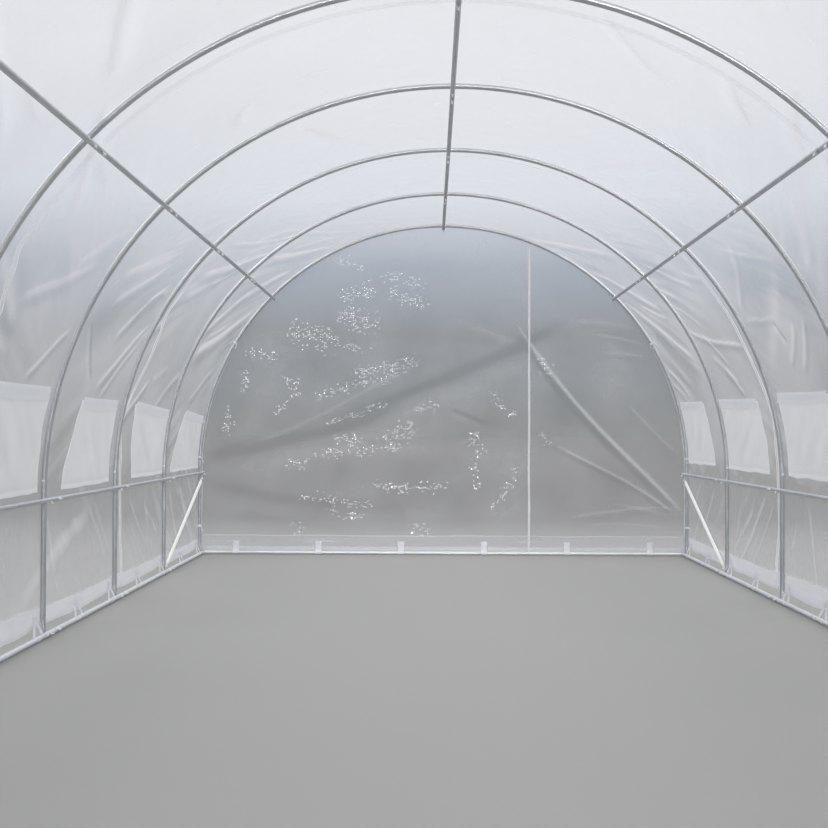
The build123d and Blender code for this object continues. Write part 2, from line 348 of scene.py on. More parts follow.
def woven_webbing(nodes):
    """Flat woven strap: ribs across it, a soft sheen and a faint soiling."""
    flat = nodes.add("UVMap")
    ribs = nodes.add(
        "TexWave", {"Vector": flat, "Scale": 190.0, "Distortion": 0.6, "Detail": 1.0}, "Fac",
        bands_direction="Y",
    )
    rows = nodes.add("TexWave", {"Vector": flat, "Scale": 150.0}, "Fac", bands_direction="X")
    soil = nodes.noise(nodes.place(), 30.0, detail=5.0, roughness=0.7)
    weave = nodes.maths("MULTIPLY", ribs, rows)
    white = colours().webbing
    tone = nodes.blended(0.35, (weave, 0.35), (soil, 0.3))
    colour = nodes.ramp(tone, (0.2, shade(white, 0.86)), (0.85, shade(white, 1.03)))
    face = nodes.gloss(colour, 0.62, sheen_weight=0.25, normal=nodes.bump(weave, 0.5, 0.0006))
    return nodes.mix(0.25, face, nodes.add("BsdfTranslucent", {"Color": colour}))


def galvanised(nodes, tone, roughness, metallic):
    """Zinc-coated steel: faint crystal spangle, cloudy patches and duller smears."""
    place = nodes.place()
    spangle = nodes.add("TexVoronoi", {"Vector": place, "Scale": 95.0}, "Color")
    crystal = nodes.add("SeparateColor", {0: spangle})
    patch = nodes.noise(place, 11.0, detail=4.0, roughness=0.5)
    smear = nodes.noise(place, 3.0, detail=3.0, distortion=0.4)
    mottle = nodes.blended(0.0, (crystal, 0.08), (patch, 0.5), (smear, 0.42))
    zinc = shade(colours().zinc, tone)
    colour = nodes.ramp(mottle, (0.3, shade(zinc, 0.88)), (0.5, zinc), (0.7, shade(zinc, 1.1)))
    shine = nodes.blended(roughness - 0.08, (patch, 0.16))
    return nodes.gloss(colour, shine, metallic=metallic, normal=nodes.bump(patch, 0.02, 0.001))


def coated_tube(nodes):
    """Off-white coating on tube, scuffed in places down to a greyer tone."""
    place = nodes.place()
    scuff = nodes.noise(place, 22.0, detail=7.0, roughness=0.7)
    haze = nodes.noise(place, 3.0, detail=2.0)
    white = colours().brace
    colour = nodes.ramp(
        nodes.blended(0.0, (scuff, 0.7), (haze, 0.3)),
        (0.28, shade(white, 0.75)), (0.4, shade(white, 0.96)), (0.75, shade(white, 1.04)),
    )
    return nodes.gloss(colour, 0.42, normal=nodes.bump(scuff, 0.12, 0.001))


def matt_floor(nodes):
    """Pale floor round the tunnel that falls off to the tone of the horizon."""
    place = nodes.place()
    axes = nodes.node("SeparateXYZ", {0: place}).outputs
    beside, beyond = (
        nodes.maths("SUBTRACT", nodes.maths("ABSOLUTE", axes[axis]), reach)
        for axis, reach in (("X", half_width), ("Y", hoop_places[-1]))
    )
    away = nodes.maths("SMOOTH_MAX", beside, beyond, 1.5)
    cloud = nodes.noise(place, 0.8, detail=6.0, roughness=0.6)
    fall = nodes.blended(0.0, (away, 0.1), (cloud, 0.06))
    pale = colours().floor
    colour = nodes.ramp(fall, (0.0, pale), (0.08, shade(pale, 0.82)), (0.34, shade(pale, 0.49)))
    return nodes.gloss(colour, 0.9)


FINISHES = {  # what makes each finish, and its numbers
    "cover_film": (clear_film, 0.42, 0.75, 0.2, 0.28),
    "wall_film": (clear_film, 0.22, 0.55, 0.12, 0.42, 1.0, True),
    # The wall hems' film is the hem film at a lower tone: painted shade, making up for the lamp in
    # front lighting the wall hems more.
    "hem_film": (clear_film, 0.31, 0.85, 0.12, 0.25, 1.09),
    "shaded_wall_hem_film": (clear_film, 0.31, 0.85, 0.12, 0.25, 0.98),
    "rolled_film": (clear_film, 0.86, 0.1, 0.1, 0.2, 1.0, True),
    "netting": (window_cloth, 0.8),
    "header_cloth": (window_cloth, 0.93),
    "webbing": (woven_webbing,),
    "coated_tube": (coated_tube,),
    "zinc_hoop": (galvanised, 0.9, 0.35, 0.86),
    "zinc_legs": (galvanised, 0.88, 0.34, 1.0),
    "zinc_purlin": (galvanised, 0.95, 0.38, 1.0),
    "zinc_waist": (galvanised, 0.95, 0.36, 1.0),
    "zinc_base": (galvanised, 1.2, 0.4, 0.4),
    "zinc_bolt": (galvanised, 1.3, 0.3, 0.8),
    "matt_floor": (matt_floor,),
}


@functools.cache
def finish_for(name):
    """Makes each finish once."""
    make, *numbers = FINISHES[name]
    nodes = Nodes(bpy.data.materials.new(name))
    nodes.node("OutputMaterial", {"Surface": make(nodes, *numbers)})
    return nodes.owner


# Making and finishing pieces

def choose(piece):
    """Selects one piece alone and makes it active."""
    bpy.ops.object.select_all(action="DESELECT")
    piece.select_set(True)
    bpy.context.view_layer.objects.active = piece


def start(name, primitive, **size):
    """Adds a primitive as a new piece."""
    bpy.ops.object.select_all(action="DESELECT")
    primitive(**size)
    piece = bpy.context.object
    piece.name = piece.data.name = name
    return piece


def cylinder(name, sides, radius, depth, height):
    """A cylinder along Z whose middle is at a height."""
    return start(
        name, bpy.ops.mesh.primitive_cylinder_add, vertices=sides, radius=radius,
        depth=depth, location=(0, 0, height),
    )


def settle(piece, finish="webbing", smooth=40):
    """Gives a finished piece its material and its body."""
    choose(piece)
    bpy.ops.object.shade_smooth_by_angle(angle=math.radians(smooth))
    piece.data.materials.clear()
    piece.data.materials.append(finish_for(finish))
    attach(piece, "root")
    return piece


def settle_film(piece, finish="hem_film"):
    return settle(piece, finish, 180)


def apply_modifiers(piece):
    choose(piece)
    for modifier in list(piece.modifiers):
        bpy.ops.object.modifier_apply(modifier=modifier.name)


def join(name, parts):
    bpy.ops.object.select_all(action="DESELECT")
    for part in parts:
        part.select_set(True)
    bpy.context.view_layer.objects.active = parts[0]
    bpy.ops.object.join()
    parts[0].name = parts[0].data.name = name
    return parts[0]


def copies(name, master, places):
    """Copies of a piece at each place, each with its own mesh, joined into one."""
    parts = []
    for place in places:
        part = master.copy()
        part.data = master.data.copy()
        bpy.context.scene.collection.objects.link(part)
        part.data.transform(place)
        parts.append(part)
    bpy.data.objects.remove(master)
    return join(name, parts)


def select_by(piece, kind, test):
    """Goes into edit mode with the faces or vertices selected that pass a test."""
    choose(piece)
    bpy.ops.object.mode_set(mode="EDIT")
    bpy.ops.mesh.select_mode(type=kind)
    bpy.ops.mesh.select_all(action="DESELECT")
    bpy.ops.object.mode_set(mode="OBJECT")
    for part in piece.data.polygons if kind == "FACE" else piece.data.vertices:
        part.select = bool(test(part))
    bpy.ops.object.mode_set(mode="EDIT")


def select_whole(piece):
    """Goes into edit mode with all of a piece selected."""
    choose(piece)
    bpy.ops.object.mode_set(mode="EDIT")
    bpy.ops.mesh.select_all(action="SELECT")


def leave_edit():
    bpy.ops.object.mode_set(mode="OBJECT")


# Sheets

def lines(keys, pitch):
    """Grid lines through every key place, no further apart than the pitch."""
    places = [keys[0]]
    for first, last in zip(keys[:-1], keys[1:]):
        steps = max(1, math.ceil((last - first) / pitch - 1e-6))
        places += [first + (last - first) * i / steps for i in range(1, steps + 1)]
    return np.array(places)


def sheet_grid(name, across, along):
    """A flat sheet whose grid lines lie at the given places, with both places of each vertex."""
    sheet = start(
        name, bpy.ops.mesh.primitive_grid_add,
        x_subdivisions=len(across) - 1, y_subdivisions=len(along) - 1, size=2,
    )
    flat = np.empty(len(sheet.data.vertices) * 3)
    sheet.data.vertices.foreach_get("co", flat)
    flat = flat.reshape(-1, 3)
    a = across[np.rint((flat[:, 0] + 1) / 2 * (len(across) - 1)).astype(int)]
    b = along[np.rint((flat[:, 1] + 1) / 2 * (len(along) - 1)).astype(int)]
    corners = np.empty(len(sheet.data.loops), int)
    sheet.data.loops.foreach_get("vertex_index", corners)
    flat_map = np.column_stack((a[corners], b[corners]))
    sheet.data.uv_layers.active.data.foreach_set("uv", flat_map.ravel())
    return sheet, a, b


def shape_sheet(sheet, x, y, z, outward=None, **marks):
    """Moves a sheet's vertices to their places and keeps marks such as its folds."""
    places = np.column_stack(np.broadcast_arrays(x, y, z))
    sheet.data.vertices.foreach_set("co", places.ravel())
    for name, values in marks.items():
        mark = sheet.data.attributes.new(name, "FLOAT", "POINT")
        mark.data.foreach_set("value", np.clip(values, 0, 1).astype(float))
    sheet.data.update()
    if outward:
        face_outwards(sheet, outward)


def face_outwards(sheet, outward):
    """Turns a sheet over if the face halfway through its list looks the wrong way."""
    face = sheet.data.polygons[len(sheet.data.polygons) // 2]
    if face.normal.dot(outward(face.center)) < 0:
        select_whole(sheet)
        bpy.ops.mesh.flip_normals()
        leave_edit()


def off_axis(place):
    """Way out from the middle of the tunnel's round."""
    return Vector((place.x, 0, place.z - leg_top))


def inwards(place):
    return Vector((-place.x, 0, 0))


def grain(a, b, seed):
    """Smooth random values from -1 to 1 over a sheet."""
    return np.array([noise.noise((p, q, seed)) for p, q in zip(a, b)])


def creases(a, b, seed):
    """Thin lines, 1 on their crest, that wander over a sheet."""
    return np.clip(1 - np.abs(grain(a, b, seed)) / 0.16, 0, 1) ** 2


def peak(values, place, width):
    """1 at a place, fading away on both sides of it."""
    return np.exp(-(((values - place) / width) ** 2))


def ease(values, low, high):
    """0 below the low value, 1 above the high one and smooth between."""
    t = np.clip((values - low) / (high - low), 0, 1)
    return t * t * (3 - 2 * t)


def near_line(a, b, first, last):
    """How far points are off a line, and how well they lie beside it, fading at its ends."""
    run = np.subtract(last, first)
    length = np.hypot(*run)
    along = ((a - first[0]) * run[0] + (b - first[1]) * run[1]) / length
    off = ((b - first[1]) * run[0] - (a - first[0]) * run[1]) / length
    off = off - 0.018 * length * np.sin(5 * along / length + 7 * first[0])
    beside = ease(along, 0, 0.2 * length) * ease(length - along, 0, 0.2 * length)
    return off, beside


def tension_fold(a, b, first, last, width, strength):
    """Height and whiteness of a straight fold: a whiter crest, partly stress-whitened film and
    partly painted highlight, with a clearer valley below as painted shade.
    """
    off, beside = near_line(a, b, first, last)
    crest = peak(off, 0, width) * beside
    core = peak(off, 0, 0.75 * width) * beside
    valley = peak(off, -2 * width, 1.3 * width) * beside
    height = min(1.0, width / 0.025)
    return height * (crest - 0.4 * valley), strength * (core - 0.4 * valley)


# Cover

LOWEST_RELIEF = -0.015  # film any further in would cut into the purlins
FOLD_WHITENESS = 1.35  # times the whiteness in the table
COVER_FOLDS = (  # side, start along and up the film, end along and up, width, whiteness
    (1, (2.15, 1.10), (3.03, 1.62), 0.026, 0.55),
    (1, (2.22, 1.43), (2.98, 1.88), 0.024, 0.50),
    (1, (2.15, 1.85), (3.03, 2.30), 0.028, 0.40),
    (1, (2.25, 1.40), (2.65, 1.53), 0.013, 0.35),
    (1, (2.60, 0.92), (3.02, 1.14), 0.012, 0.35),
    (1, (2.75, 0.92), (3.03, 1.04), 0.011, 0.30),
    (1, (1.35, 1.48), (1.95, 1.74), 0.018, 0.35),
    (1, (1.10, 1.10), (2.10, 1.31), 0.013, 0.45),
    (1, (1.40, 0.90), (1.66, 1.06), 0.012, 0.45),
    (1, (1.50, 1.06), (1.85, 1.27), 0.012, 0.35),
    (1, (1.80, 1.46), (2.15, 1.62), 0.018, 0.30),
    (1, (0.95, 1.00), (0.05, 1.48), 0.045, 0.13),
    (1, (0.45, 1.60), (0.95, 1.27), 0.016, 0.22),
    (1, (0.20, 1.19), (0.46, 0.96), 0.013, 0.30),
    (1, (0.33, 1.18), (0.60, 0.99), 0.013, 0.28),
    (1, (0.50, 1.10), (0.60, 1.20), 0.012, -0.35),
    (1, (0.52, 1.22), (0.97, 1.23), 0.012, 0.22),
    (1, (-0.05, 1.32), (-0.45, 1.60), 0.030, 0.25),
    (1, (1.25, 0.44), (1.78, 0.03), 0.014, 0.45),
    (1, (1.15, 0.38), (1.52, 0.06), 0.012, 0.30),
    (1, (1.48, 0.36), (1.92, 0.07), 0.013, 0.40),
    (1, (2.30, 0.42), (2.62, 0.08), 0.014, 0.30),
    (1, (0.52, 0.06), (0.66, 0.42), 0.020, 0.30),
    (-1, (2.05, 2.02), (2.85, 2.40), 0.013, 0.35),
    (-1, (2.10, 1.80), (2.90, 2.15), 0.028, 0.55),
    (-1, (2.28, 1.49), (2.85, 1.87), 0.028, 0.50),
    (-1, (2.08, 1.12), (3.00, 1.54), 0.036, 0.55),
    (-1, (2.06, 1.24), (2.48, 1.66), 0.024, 0.45),
    (-1, (2.35, 0.88), (2.85, 1.11), 0.018, 0.35),
    (-1, (1.20, 1.70), (2.20, 2.06), 0.013, 0.45),
    (-1, (1.22, 1.50), (2.07, 1.85), 0.028, 0.45),
    (-1, (1.50, 1.51), (1.90, 1.71), 0.012, 0.35),
    (-1, (1.02, 0.72), (1.36, 0.98), 0.013, 0.55),
    (-1, (1.55, 0.82), (2.02, 1.04), 0.018, 0.30),
    (-1, (0.18, 1.33), (0.72, 1.58), 0.026, 0.28),
    (-1, (0.48, 1.10), (0.93, 1.42), 0.016, 0.42),
    (-1, (0.50, 1.55), (0.96, 1.85), 0.030, 0.18),
    (-1, (-0.36, 1.31), (-0.03, 1.53), 0.028, 0.25),
    (-1, (0.45, 0.88), (0.98, 1.21), 0.015, 0.45),
    (-1, (0.55, 0.85), (0.95, 1.12), 0.012, 0.35),
    (-1, (0.14, 1.15), (0.40, 0.92), 0.012, -0.30),
    (-1, (-0.40, 0.89), (-0.03, 1.10), 0.012, 0.40),
    (-1, (-0.70, 1.12), (-0.10, 1.38), 0.020, 0.30),
    (-1, (1.45, 2.17), (2.05, 2.38), 0.020, 0.25),
    (-1, (-0.25, 0.12), (0.65, 0.37), 0.050, 0.40),
    (-1, (1.25, 0.42), (1.66, 0.10), 0.014, 0.35),
    (-1, (1.50, 0.40), (1.90, 0.16), 0.013, 0.30),
    (-1, (0.05, 0.41), (0.22, 0.06), 0.014, 0.30),
    (-1, (2.15, 0.41), (2.38, 0.06), 0.014, 0.30),
    (-1, (-0.75, 0.30), (-0.02, 0.25), 0.090, -0.24),
    (-1, (0.02, 1.10), (0.98, 1.34), 0.110, -0.13),
    (1, (-0.20, 1.28), (0.85, 1.42), 0.120, -0.20),
)


def fainter_folds():
    """Chance folds for every bay and side: five rise outwards, two fall towards the hem."""
    chance = np.random.RandomState(5)
    folds = []
    for side in (-1, 1):
        for start_y in hoop_places[:-1]:
            outward = 1 if start_y + bay / 2 > 0 else -1
            for number in range(7):
                first = (start_y + bay * chance.uniform(0.15, 0.85), chance.uniform(0.95, 2.3))
                run = chance.uniform(0.2, 0.5) * outward
                rise = abs(run) * chance.uniform(0.25, 0.75)
                if number > 4:
                    first = (first[0], 0.42)
                    run, rise = 0.6 * run, -chance.uniform(0.2, 0.36)
                last = (first[0] + run, first[1] + rise)
                width, white = chance.uniform(0.012, 0.03), chance.uniform(0.14, 0.38)
                folds.append((side, first, last, width, white))
    return folds


def all_cover_folds():
    """The folds in the table, the rear ones again for the front, and chance folds."""
    turned = [
        (-side, (-first[0], first[1]), (-last[0], last[1]), width, white)
        for side, first, last, width, white in COVER_FOLDS if first[0] > 1
    ]
    laid = [fold[:4] + (FOLD_WHITENESS * fold[4],) for fold in list(COVER_FOLDS) + turned]
    return laid + fainter_folds()


SEAM_WANDER = {  # by side: way up the film, and how far past the hoop the weld runs there
    1: ((0.0, 0.09), (0.12, 0.12), (0.3, 0.07), (0.45, 0.09), (0.62, 0.1), (0.78, 0.07),
        (0.92, 0.11), (1.1, 0.155), (1.3, 0.15), (1.5, 0.16), (2.0, 0.15), (2.9, 0.15)),
    -1: ((0.0, 0.15), (0.39, 0.12), (0.59, 0.12), (0.72, 0.05), (0.84, 0.10), (0.99, 0.19),
         (1.09, 0.22), (1.19, 0.19), (1.29, 0.13), (1.39, 0.15), (1.7, 0.14), (2.9, 0.15)),
}
WINDOW_PULLS = {  # by side and bay: how far the corners of a window are off square
    # along at the front edge's foot and head, along at the rear edge's foot and head,
    # up at the lower edge's front and rear, up at the upper edge's front and rear
    (-1, 2): (0.0, 0.0, 0.0, 0.0, 0.0, 0.0, -0.02, -0.02),
    (-1, 3): (-0.02, 0.11, -0.03, -0.03, 0.0, 0.0, -0.045, -0.045),
    (-1, 4): (0.07, -0.02, 0.07, 0.07, 0.0, 0.0, -0.04, -0.07),
    (-1, 5): (-0.07, 0.14, 0.03, 0.03, 0.0, 0.0, -0.06, -0.09),
    (1, 2): (0.0, 0.02, -0.02, -0.01, 0.03, 0.03, -0.01, 0.0),
    (1, 3): (0.0, 0.0, -0.025, -0.02, 0.035, 0.035, -0.015, 0.0),
    (1, 4): (-0.03, 0.01, 0.05, 0.05, 0.035, 0.035, -0.015, 0.0),
    (1, 5): (0.035, 0.10, 0.03, 0.03, 0.045, 0.04, 0.0, 0.01),
}


def between(first, last, share):
    return first + (last - first) * share


def window_pull(y, up, side):
    """How far film is pulled along and up near its windows, none of which is quite square."""
    foot, head = film_way(window_low.z), film_way(window_high.z)
    along, rise = 0 * y, 0 * y
    for number, place in enumerate(window_starts):
        chance = [0.02 * math.sin(5 * number + side + 2 * corner) for corner in range(8)]
        pulls = WINDOW_PULLS.get((side, number), chance)
        across = np.clip((y - place) / window_length, 0, 1)
        high = np.clip((up - foot) / (head - foot), 0, 1)
        beside = np.maximum(place - y, y - place - window_length)
        over = np.maximum(foot - up, up - head)
        held = ease(-beside, -0.2, 0) * ease(-over, -0.3, 0)
        held = held * ease(panels["rear"][1].y - np.abs(y), 0, 0.07)
        front, back = between(*pulls[:2], high), between(*pulls[2:4], high)
        lower, upper = between(*pulls[4:6], across), between(*pulls[6:], across)
        ragged = 0.012 * grain(up / 0.07, place + 0 * y, side) * peak(y, place, 0.07)
        along = along + held * (between(front, back, across) + ragged)
        rise = rise + held * between(lower, upper, high)
    return np.array((along, rise))


def film_way(z):
    """Way round the film from its lower edge to a height on the right."""
    return straight + film_radius * np.arcsin((z - leg_top) / film_radius)


def way_round(up, side):
    """Way round the film from its right edge, for a way up from the lower edge of a side."""
    return up if side > 0 else 2 * half_round - up


def way_up(s):
    return np.minimum(s, 2 * half_round - s)


def arch(s, lift=0.0):
    """Place across and up of a point on the film, by its way round from the right edge."""
    bend = np.clip((s - straight) / film_radius, 0, math.pi)
    below = np.maximum(straight - way_up(s), 0)
    x = (film_radius + lift) * np.cos(bend)
    z = leg_top + (film_radius + lift) * np.sin(bend) - below
    return x, z


def cover_relief(s, y):
    """How far the film stands out from its round, and how white its folds are, with painted
    highlights beside the hoops and on fold crests.
    """
    up = way_up(s)
    side = np.where(s > half_round, -1, 1)
    phase = (y - hoop_places[0]) / bay
    past_hoop = (phase - np.rint(phase)) * bay
    slack = np.sin(math.pi * phase) ** 2
    low = 1 - ease(up, straight - 0.05, straight + 0.15)
    lane = up + np.abs(y) * np.where(up < straight, 0.8, -0.5)
    run = np.abs(y) + 0.5 * up + 9 * side
    streak = grain(lane / 0.075, run / 0.7, 5.3)
    patchy = ease(grain(y / 0.6, s / 0.7, 11.7), -0.3, 0.4) * ease(-up, -2.5, -1.4)
    swell = grain(y / 0.5, s / 0.6, 2.2)
    relief = -sizes().film_sag * slack
    relief = relief + (0.0022 * streak * patchy + 0.003 * swell) * slack
    relief = relief + 0.003 * low * grain(y / 0.16, s / 1.1, 7.3) * slack
    fine = grain(lane / 0.03, run / 0.28, 21.5)
    fold = (0.32 * streak + 0.16 * fine) * patchy
    fold = fold + 0.2 * grain(y / 0.33, s / 0.4, 14.2) * ease(-up, -2.7, -1.6)
    # Whiter lines just past each hoop: painted highlight where the film lies against the tube.
    hoop_side_highlight = peak(past_hoop, 0.019, 0.008)
    fold = fold + 0.3 * hoop_side_highlight * ease(grain(s / 0.5, y, 6.4), -0.3, 0.3) - 0.3 * low
    for fold_side, first, last, width, white in all_cover_folds():
        height, whiteness = tension_fold(y, up, first, last, width, white)
        relief = relief + sizes().fold_height * height * (side == fold_side) * np.sqrt(slack)
        fold = fold + whiteness * (side == fold_side)
    return np.maximum(relief, LOWEST_RELIEF), PLAIN + fold


def cover_panel(name, first, last):
    """One width of film over the hoops, with its window openings cut out."""
    openings = [y for y in window_starts if first < y < last]
    keys = sorted([first, last] + openings + [y + window_length for y in openings])
    lower, upper = film_way(window_low.z), film_way(window_high.z)
    rounds = [0, lower, upper, 2 * half_round - upper, 2 * half_round - lower, 2 * half_round]
    panel, y, s = sheet_grid(
        f"film_{name}", lines(keys, sizes().film_pitch), lines(rounds, sizes().film_pitch)
    )
    up = way_up(s)
    pulls = np.where(s > half_round, window_pull(y, up, -1), window_pull(y, up, 1))
    placed, way = y + pulls[0], s + np.where(s > half_round, -1, 1) * pulls[1]
    relief, fold = cover_relief(way, placed)
    x, z = arch(way, relief)
    cut = np.zeros(len(s), bool)
    for y_start in openings:
        beside = (y > y_start + 1e-5) & (y < y_start + window_length - 1e-5)
        for low, high in ((rounds[1], rounds[2]), (rounds[3], rounds[4])):
            cut |= beside & (s > low + 1e-5) & (s < high - 1e-5)
    shape_sheet(panel, x, placed, z, fold=fold, crumple=0.15 + 0 * fold)
    select_by(panel, "VERT", lambda corner: cut[corner.index])
    bpy.ops.mesh.delete(type="VERT")
    leave_edit()
    # the quads are split the other way where the folds rise the other way
    select_by(panel, "FACE", lambda face: face.center.x * (face.center.y + 0.9) < 0)
    bpy.ops.mesh.quads_convert_to_tris(quad_method="FIXED_ALTERNATE")
    leave_edit()
    face_outwards(panel, off_axis)
    return settle_film(panel, "cover_film")


HEM_HEIGHTS = {  # by side: place along, and share of the full hem height there
    1: ((-3.0, 0.7), (-0.5, 0.85), (0.7, 0.8), (1.2, 0.65), (3.0, 0.62)),
    -1: ((-3.0, 0.7), (-0.4, 0.68), (0.2, 0.5), (1.0, 0.5), (3.0, 0.42)),
}


def hem_band(name, first, last):
    """Doubled film along both lower edges of one width, welded shut at its top."""
    profile = [(-1, 1.0), (-1, 0.97), (-2, 0.9), (-2.5, 0.6), (-2, 0.25), (-1.5, 0.03),
               (0, 0.0), (1.5, 0.03), (2, 0.25), (2.5, 0.6), (2, 0.9), (1, 0.97), (1, 1.0)]
    bands = []
    for side in (1, -1):
        band, y, step = sheet_grid(
            f"{name}_{side}", lines([first, last], 0.03), np.arange(float(len(profile)))
        )
        out, up = np.array(profile)[step.astype(int)].T
        s = up * sizes().hem_height * np.interp(y, *zip(*HEM_HEIGHTS[side]))
        s = way_round(s, side)
        x, z = arch(s, cover_relief(s, y)[0] + out * 0.0007)
        wavy = (0.006 * grain(y / 0.19, side * 3 + 0 * y, 4.4) - 0.004 + 0.004 * side) * (1 - up)
        # The clearer line at the welded top is painted shade along the hem's folded top edge.
        weld = peak(up, 0.96, 0.03) * ease(grain(y / 0.3, up, 2.6), -0.3, 0.1)
        fleck = ease(grain(y / 0.05, up, 9.4), -0.2, 0.5) * peak(up, 0.42, 0.1)
        white = PLAIN + 0.15 - 0.6 * weld - 0.3 * fleck + 0.5 * ease(-up, -0.85, -0.15)
        shape_sheet(band, x, y, z + wavy, inwards, fold=white)
        bands.append(band)
    return settle_film(join(name, bands))


def cover_seam(name, hoop_place, strength):
    """Welded overlap of two widths of film that wanders beside its hoop, puckered."""
    width = 3.0 * sizes().seam_width
    band, off, s = sheet_grid(
        name, lines([-width / 2, width / 2], width / 6), lines([0, 2 * half_round], 0.014)
    )
    up = way_up(s)
    right = np.interp(up, *zip(*SEAM_WANDER[1]))
    left = np.interp(up, *zip(*SEAM_WANDER[-1]))
    wander = np.where(s > half_round, left, right)
    loose = ease(-up, -1.9, -0.9)
    wavy = loose * 0.007 * grain(s / 0.09, 0 * s, 1.3) + 0.002 * grain(s / 0.04, 0 * s, 8.3)
    y = hoop_place + wander + wavy + off
    edge = np.abs(off) / (width / 2)
    x, z = arch(s, cover_relief(s, y)[0] - 0.0008 - 0.0006 * (1 - edge**2))
    pucker = ease(grain(s / 0.05, off / 0.02, 1.9), -0.1, 0.5)
    lump = ease(grain(s / 0.17, 0 * s, 4.9), 0.1, 0.4) * loose
    rim = edge > 0.6
    white = rim * (0.2 * pucker + 0.1 + 0.5 * loose) + 0.45 * lump + 0.15 * loose
    white = PLAIN + 0.06 + strength * (white - 0.15 * (edge < 0.5) * (1 - loose))
    shape_sheet(band, x, y, z, off_axis, fold=white)
    return settle_film(band)


# Windows

def window_pane(name, side, y_start):
    """Insect mesh over one opening, welded on with an uneven edge."""
    lap = 0.016
    height = window_high.z - window_low.z
    lower = film_way(window_low.z)
    pane, y, up = sheet_grid(
        name, lines([y_start - lap, y_start + window_length + lap], 0.012),
        lines([-lap, height + lap], 0.012),
    )
    centre = y_start + window_length / 2
    reach = (y - centre) / (window_length / 2 + lap)
    rim = ease(np.abs(reach), 0.9, 1.0)
    waver = 0.011 * grain(up / 0.08, np.sign(reach) * 5 + y_start * 3, side * 2.5)
    seed = y_start * 1.7 + side
    sway = ease(np.abs(up - height / 2), 0.1, 0.2) * grain(y / 0.15, up * 2, seed + 4)
    along, rise = window_pull(y, lower + up, side)
    s = way_round(lower + up + rise + 0.005 * sway, side)
    placed = y + waver * rim + along
    middle_up = np.sin(math.pi * np.clip(up / height, 0, 1)) * (1 - reach**2)
    billow = (0.004 + 0.004 * grain(y / 0.2, up / 0.25, seed)) * middle_up
    x, z = arch(s, cover_relief(s, placed)[0] - 0.0012 - billow)
    crease = grain((y + up) / 0.1, up / 0.35, seed + 9) * middle_up
    ragged = 0.5 + 0.9 * grain(up / 0.06, np.sign(reach) + y_start, seed + 2)
    border = ease(-reach, 0.93, 0.97) * ragged + 0.35 * ease(reach, 0.95, 0.98)
    border = border + 0.5 * peak(up, -0.004, 0.006)
    border = border - 0.35 * peak(up, 0.012, 0.006)
    shape_sheet(pane, x, placed, z, off_axis, fold=PLAIN + 0.7 * border + 0.4 * crease)
    settle(pane, "netting", 180)
    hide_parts("right_windows" if side > 0 else "left_windows")
    return pane


def window_header(name, side, y_start):
    """Band along a window's top, whose loose lower edge hangs in a curve."""
    low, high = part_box("right_window_headers")
    height = high.z - low.z
    band, y, up = sheet_grid(
        name, lines([y_start, y_start + window_length], 0.012), lines([0, height], height / 6)
    )
    reach = (y - y_start) / window_length
    loose = 1 - up / height
    bow = 0.010 * np.sin(math.pi * reach) * loose
    seed = y_start * 2.3 + side
    sway = loose * (0.004 + 0.006 * np.abs(grain(y / 0.1, up / 0.2, seed)))
    z_flat = low.z + up - bow
    along, rise = window_pull(y, film_way(z_flat), side)
    s = way_round(film_way(z_flat) + rise, side)
    x, z = arch(s, cover_relief(s, y + along)[0] - 0.003 - sway)
    # The loose lower edge is made clearer: painted shade along it.
    shape_sheet(band, x, y + along, z, inwards, fold=PLAIN + 0.1 - 0.9 * (loose > 0.9))
    thicken = band.modifiers.new("thickness", "SOLIDIFY")
    thicken.thickness = 0.0007
    apply_modifiers(band)
    return settle(band, "header_cloth", 60)


# End walls

WALL_FOLDS = (  # start across and up, end across and up, width, whiteness
    ((0.40, 1.47), (1.52, 0.16), 0.015, 0.95),
    ((0.66, 0.72), (1.48, 0.22), 0.010, 0.60),
    ((0.70, 0.24), (1.50, 0.30), 0.014, 0.25),
    ((0.80, 0.19), (1.50, 0.17), 0.012, 0.25),
    ((0.95, 0.32), (1.48, 0.25), 0.010, 0.20),
    ((0.75, 1.46), (1.35, 1.36), 0.022, 0.18),
    ((0.90, 1.36), (1.38, 1.27), 0.014, 0.22),
    ((0.95, 1.24), (1.38, 1.22), 0.012, 0.20),
    ((1.10, 0.95), (1.50, 0.58), 0.016, 0.20),
    ((-1.60, 0.53), (-0.20, 0.93), 0.055, -0.30),
    ((-0.75, 0.72), (0.80, 1.48), 0.050, -0.30),
    ((-1.50, 0.42), (-0.20, 0.28), 0.050, -0.16),
    ((-1.45, 0.24), (0.40, 0.17), 0.045, -0.14),
    ((-0.70, 0.62), (0.20, 0.70), 0.050, 0.10),
    ((-1.35, 0.62), (-0.10, 1.16), 0.020, 0.16),
    ((0.02, 0.90), (0.30, 0.80), 0.014, -0.25),
    ((0.02, 1.45), (0.50, 1.30), 0.030, 0.12),
    ((-0.60, 1.95), (-0.10, 1.97), 0.050, 0.18),
)
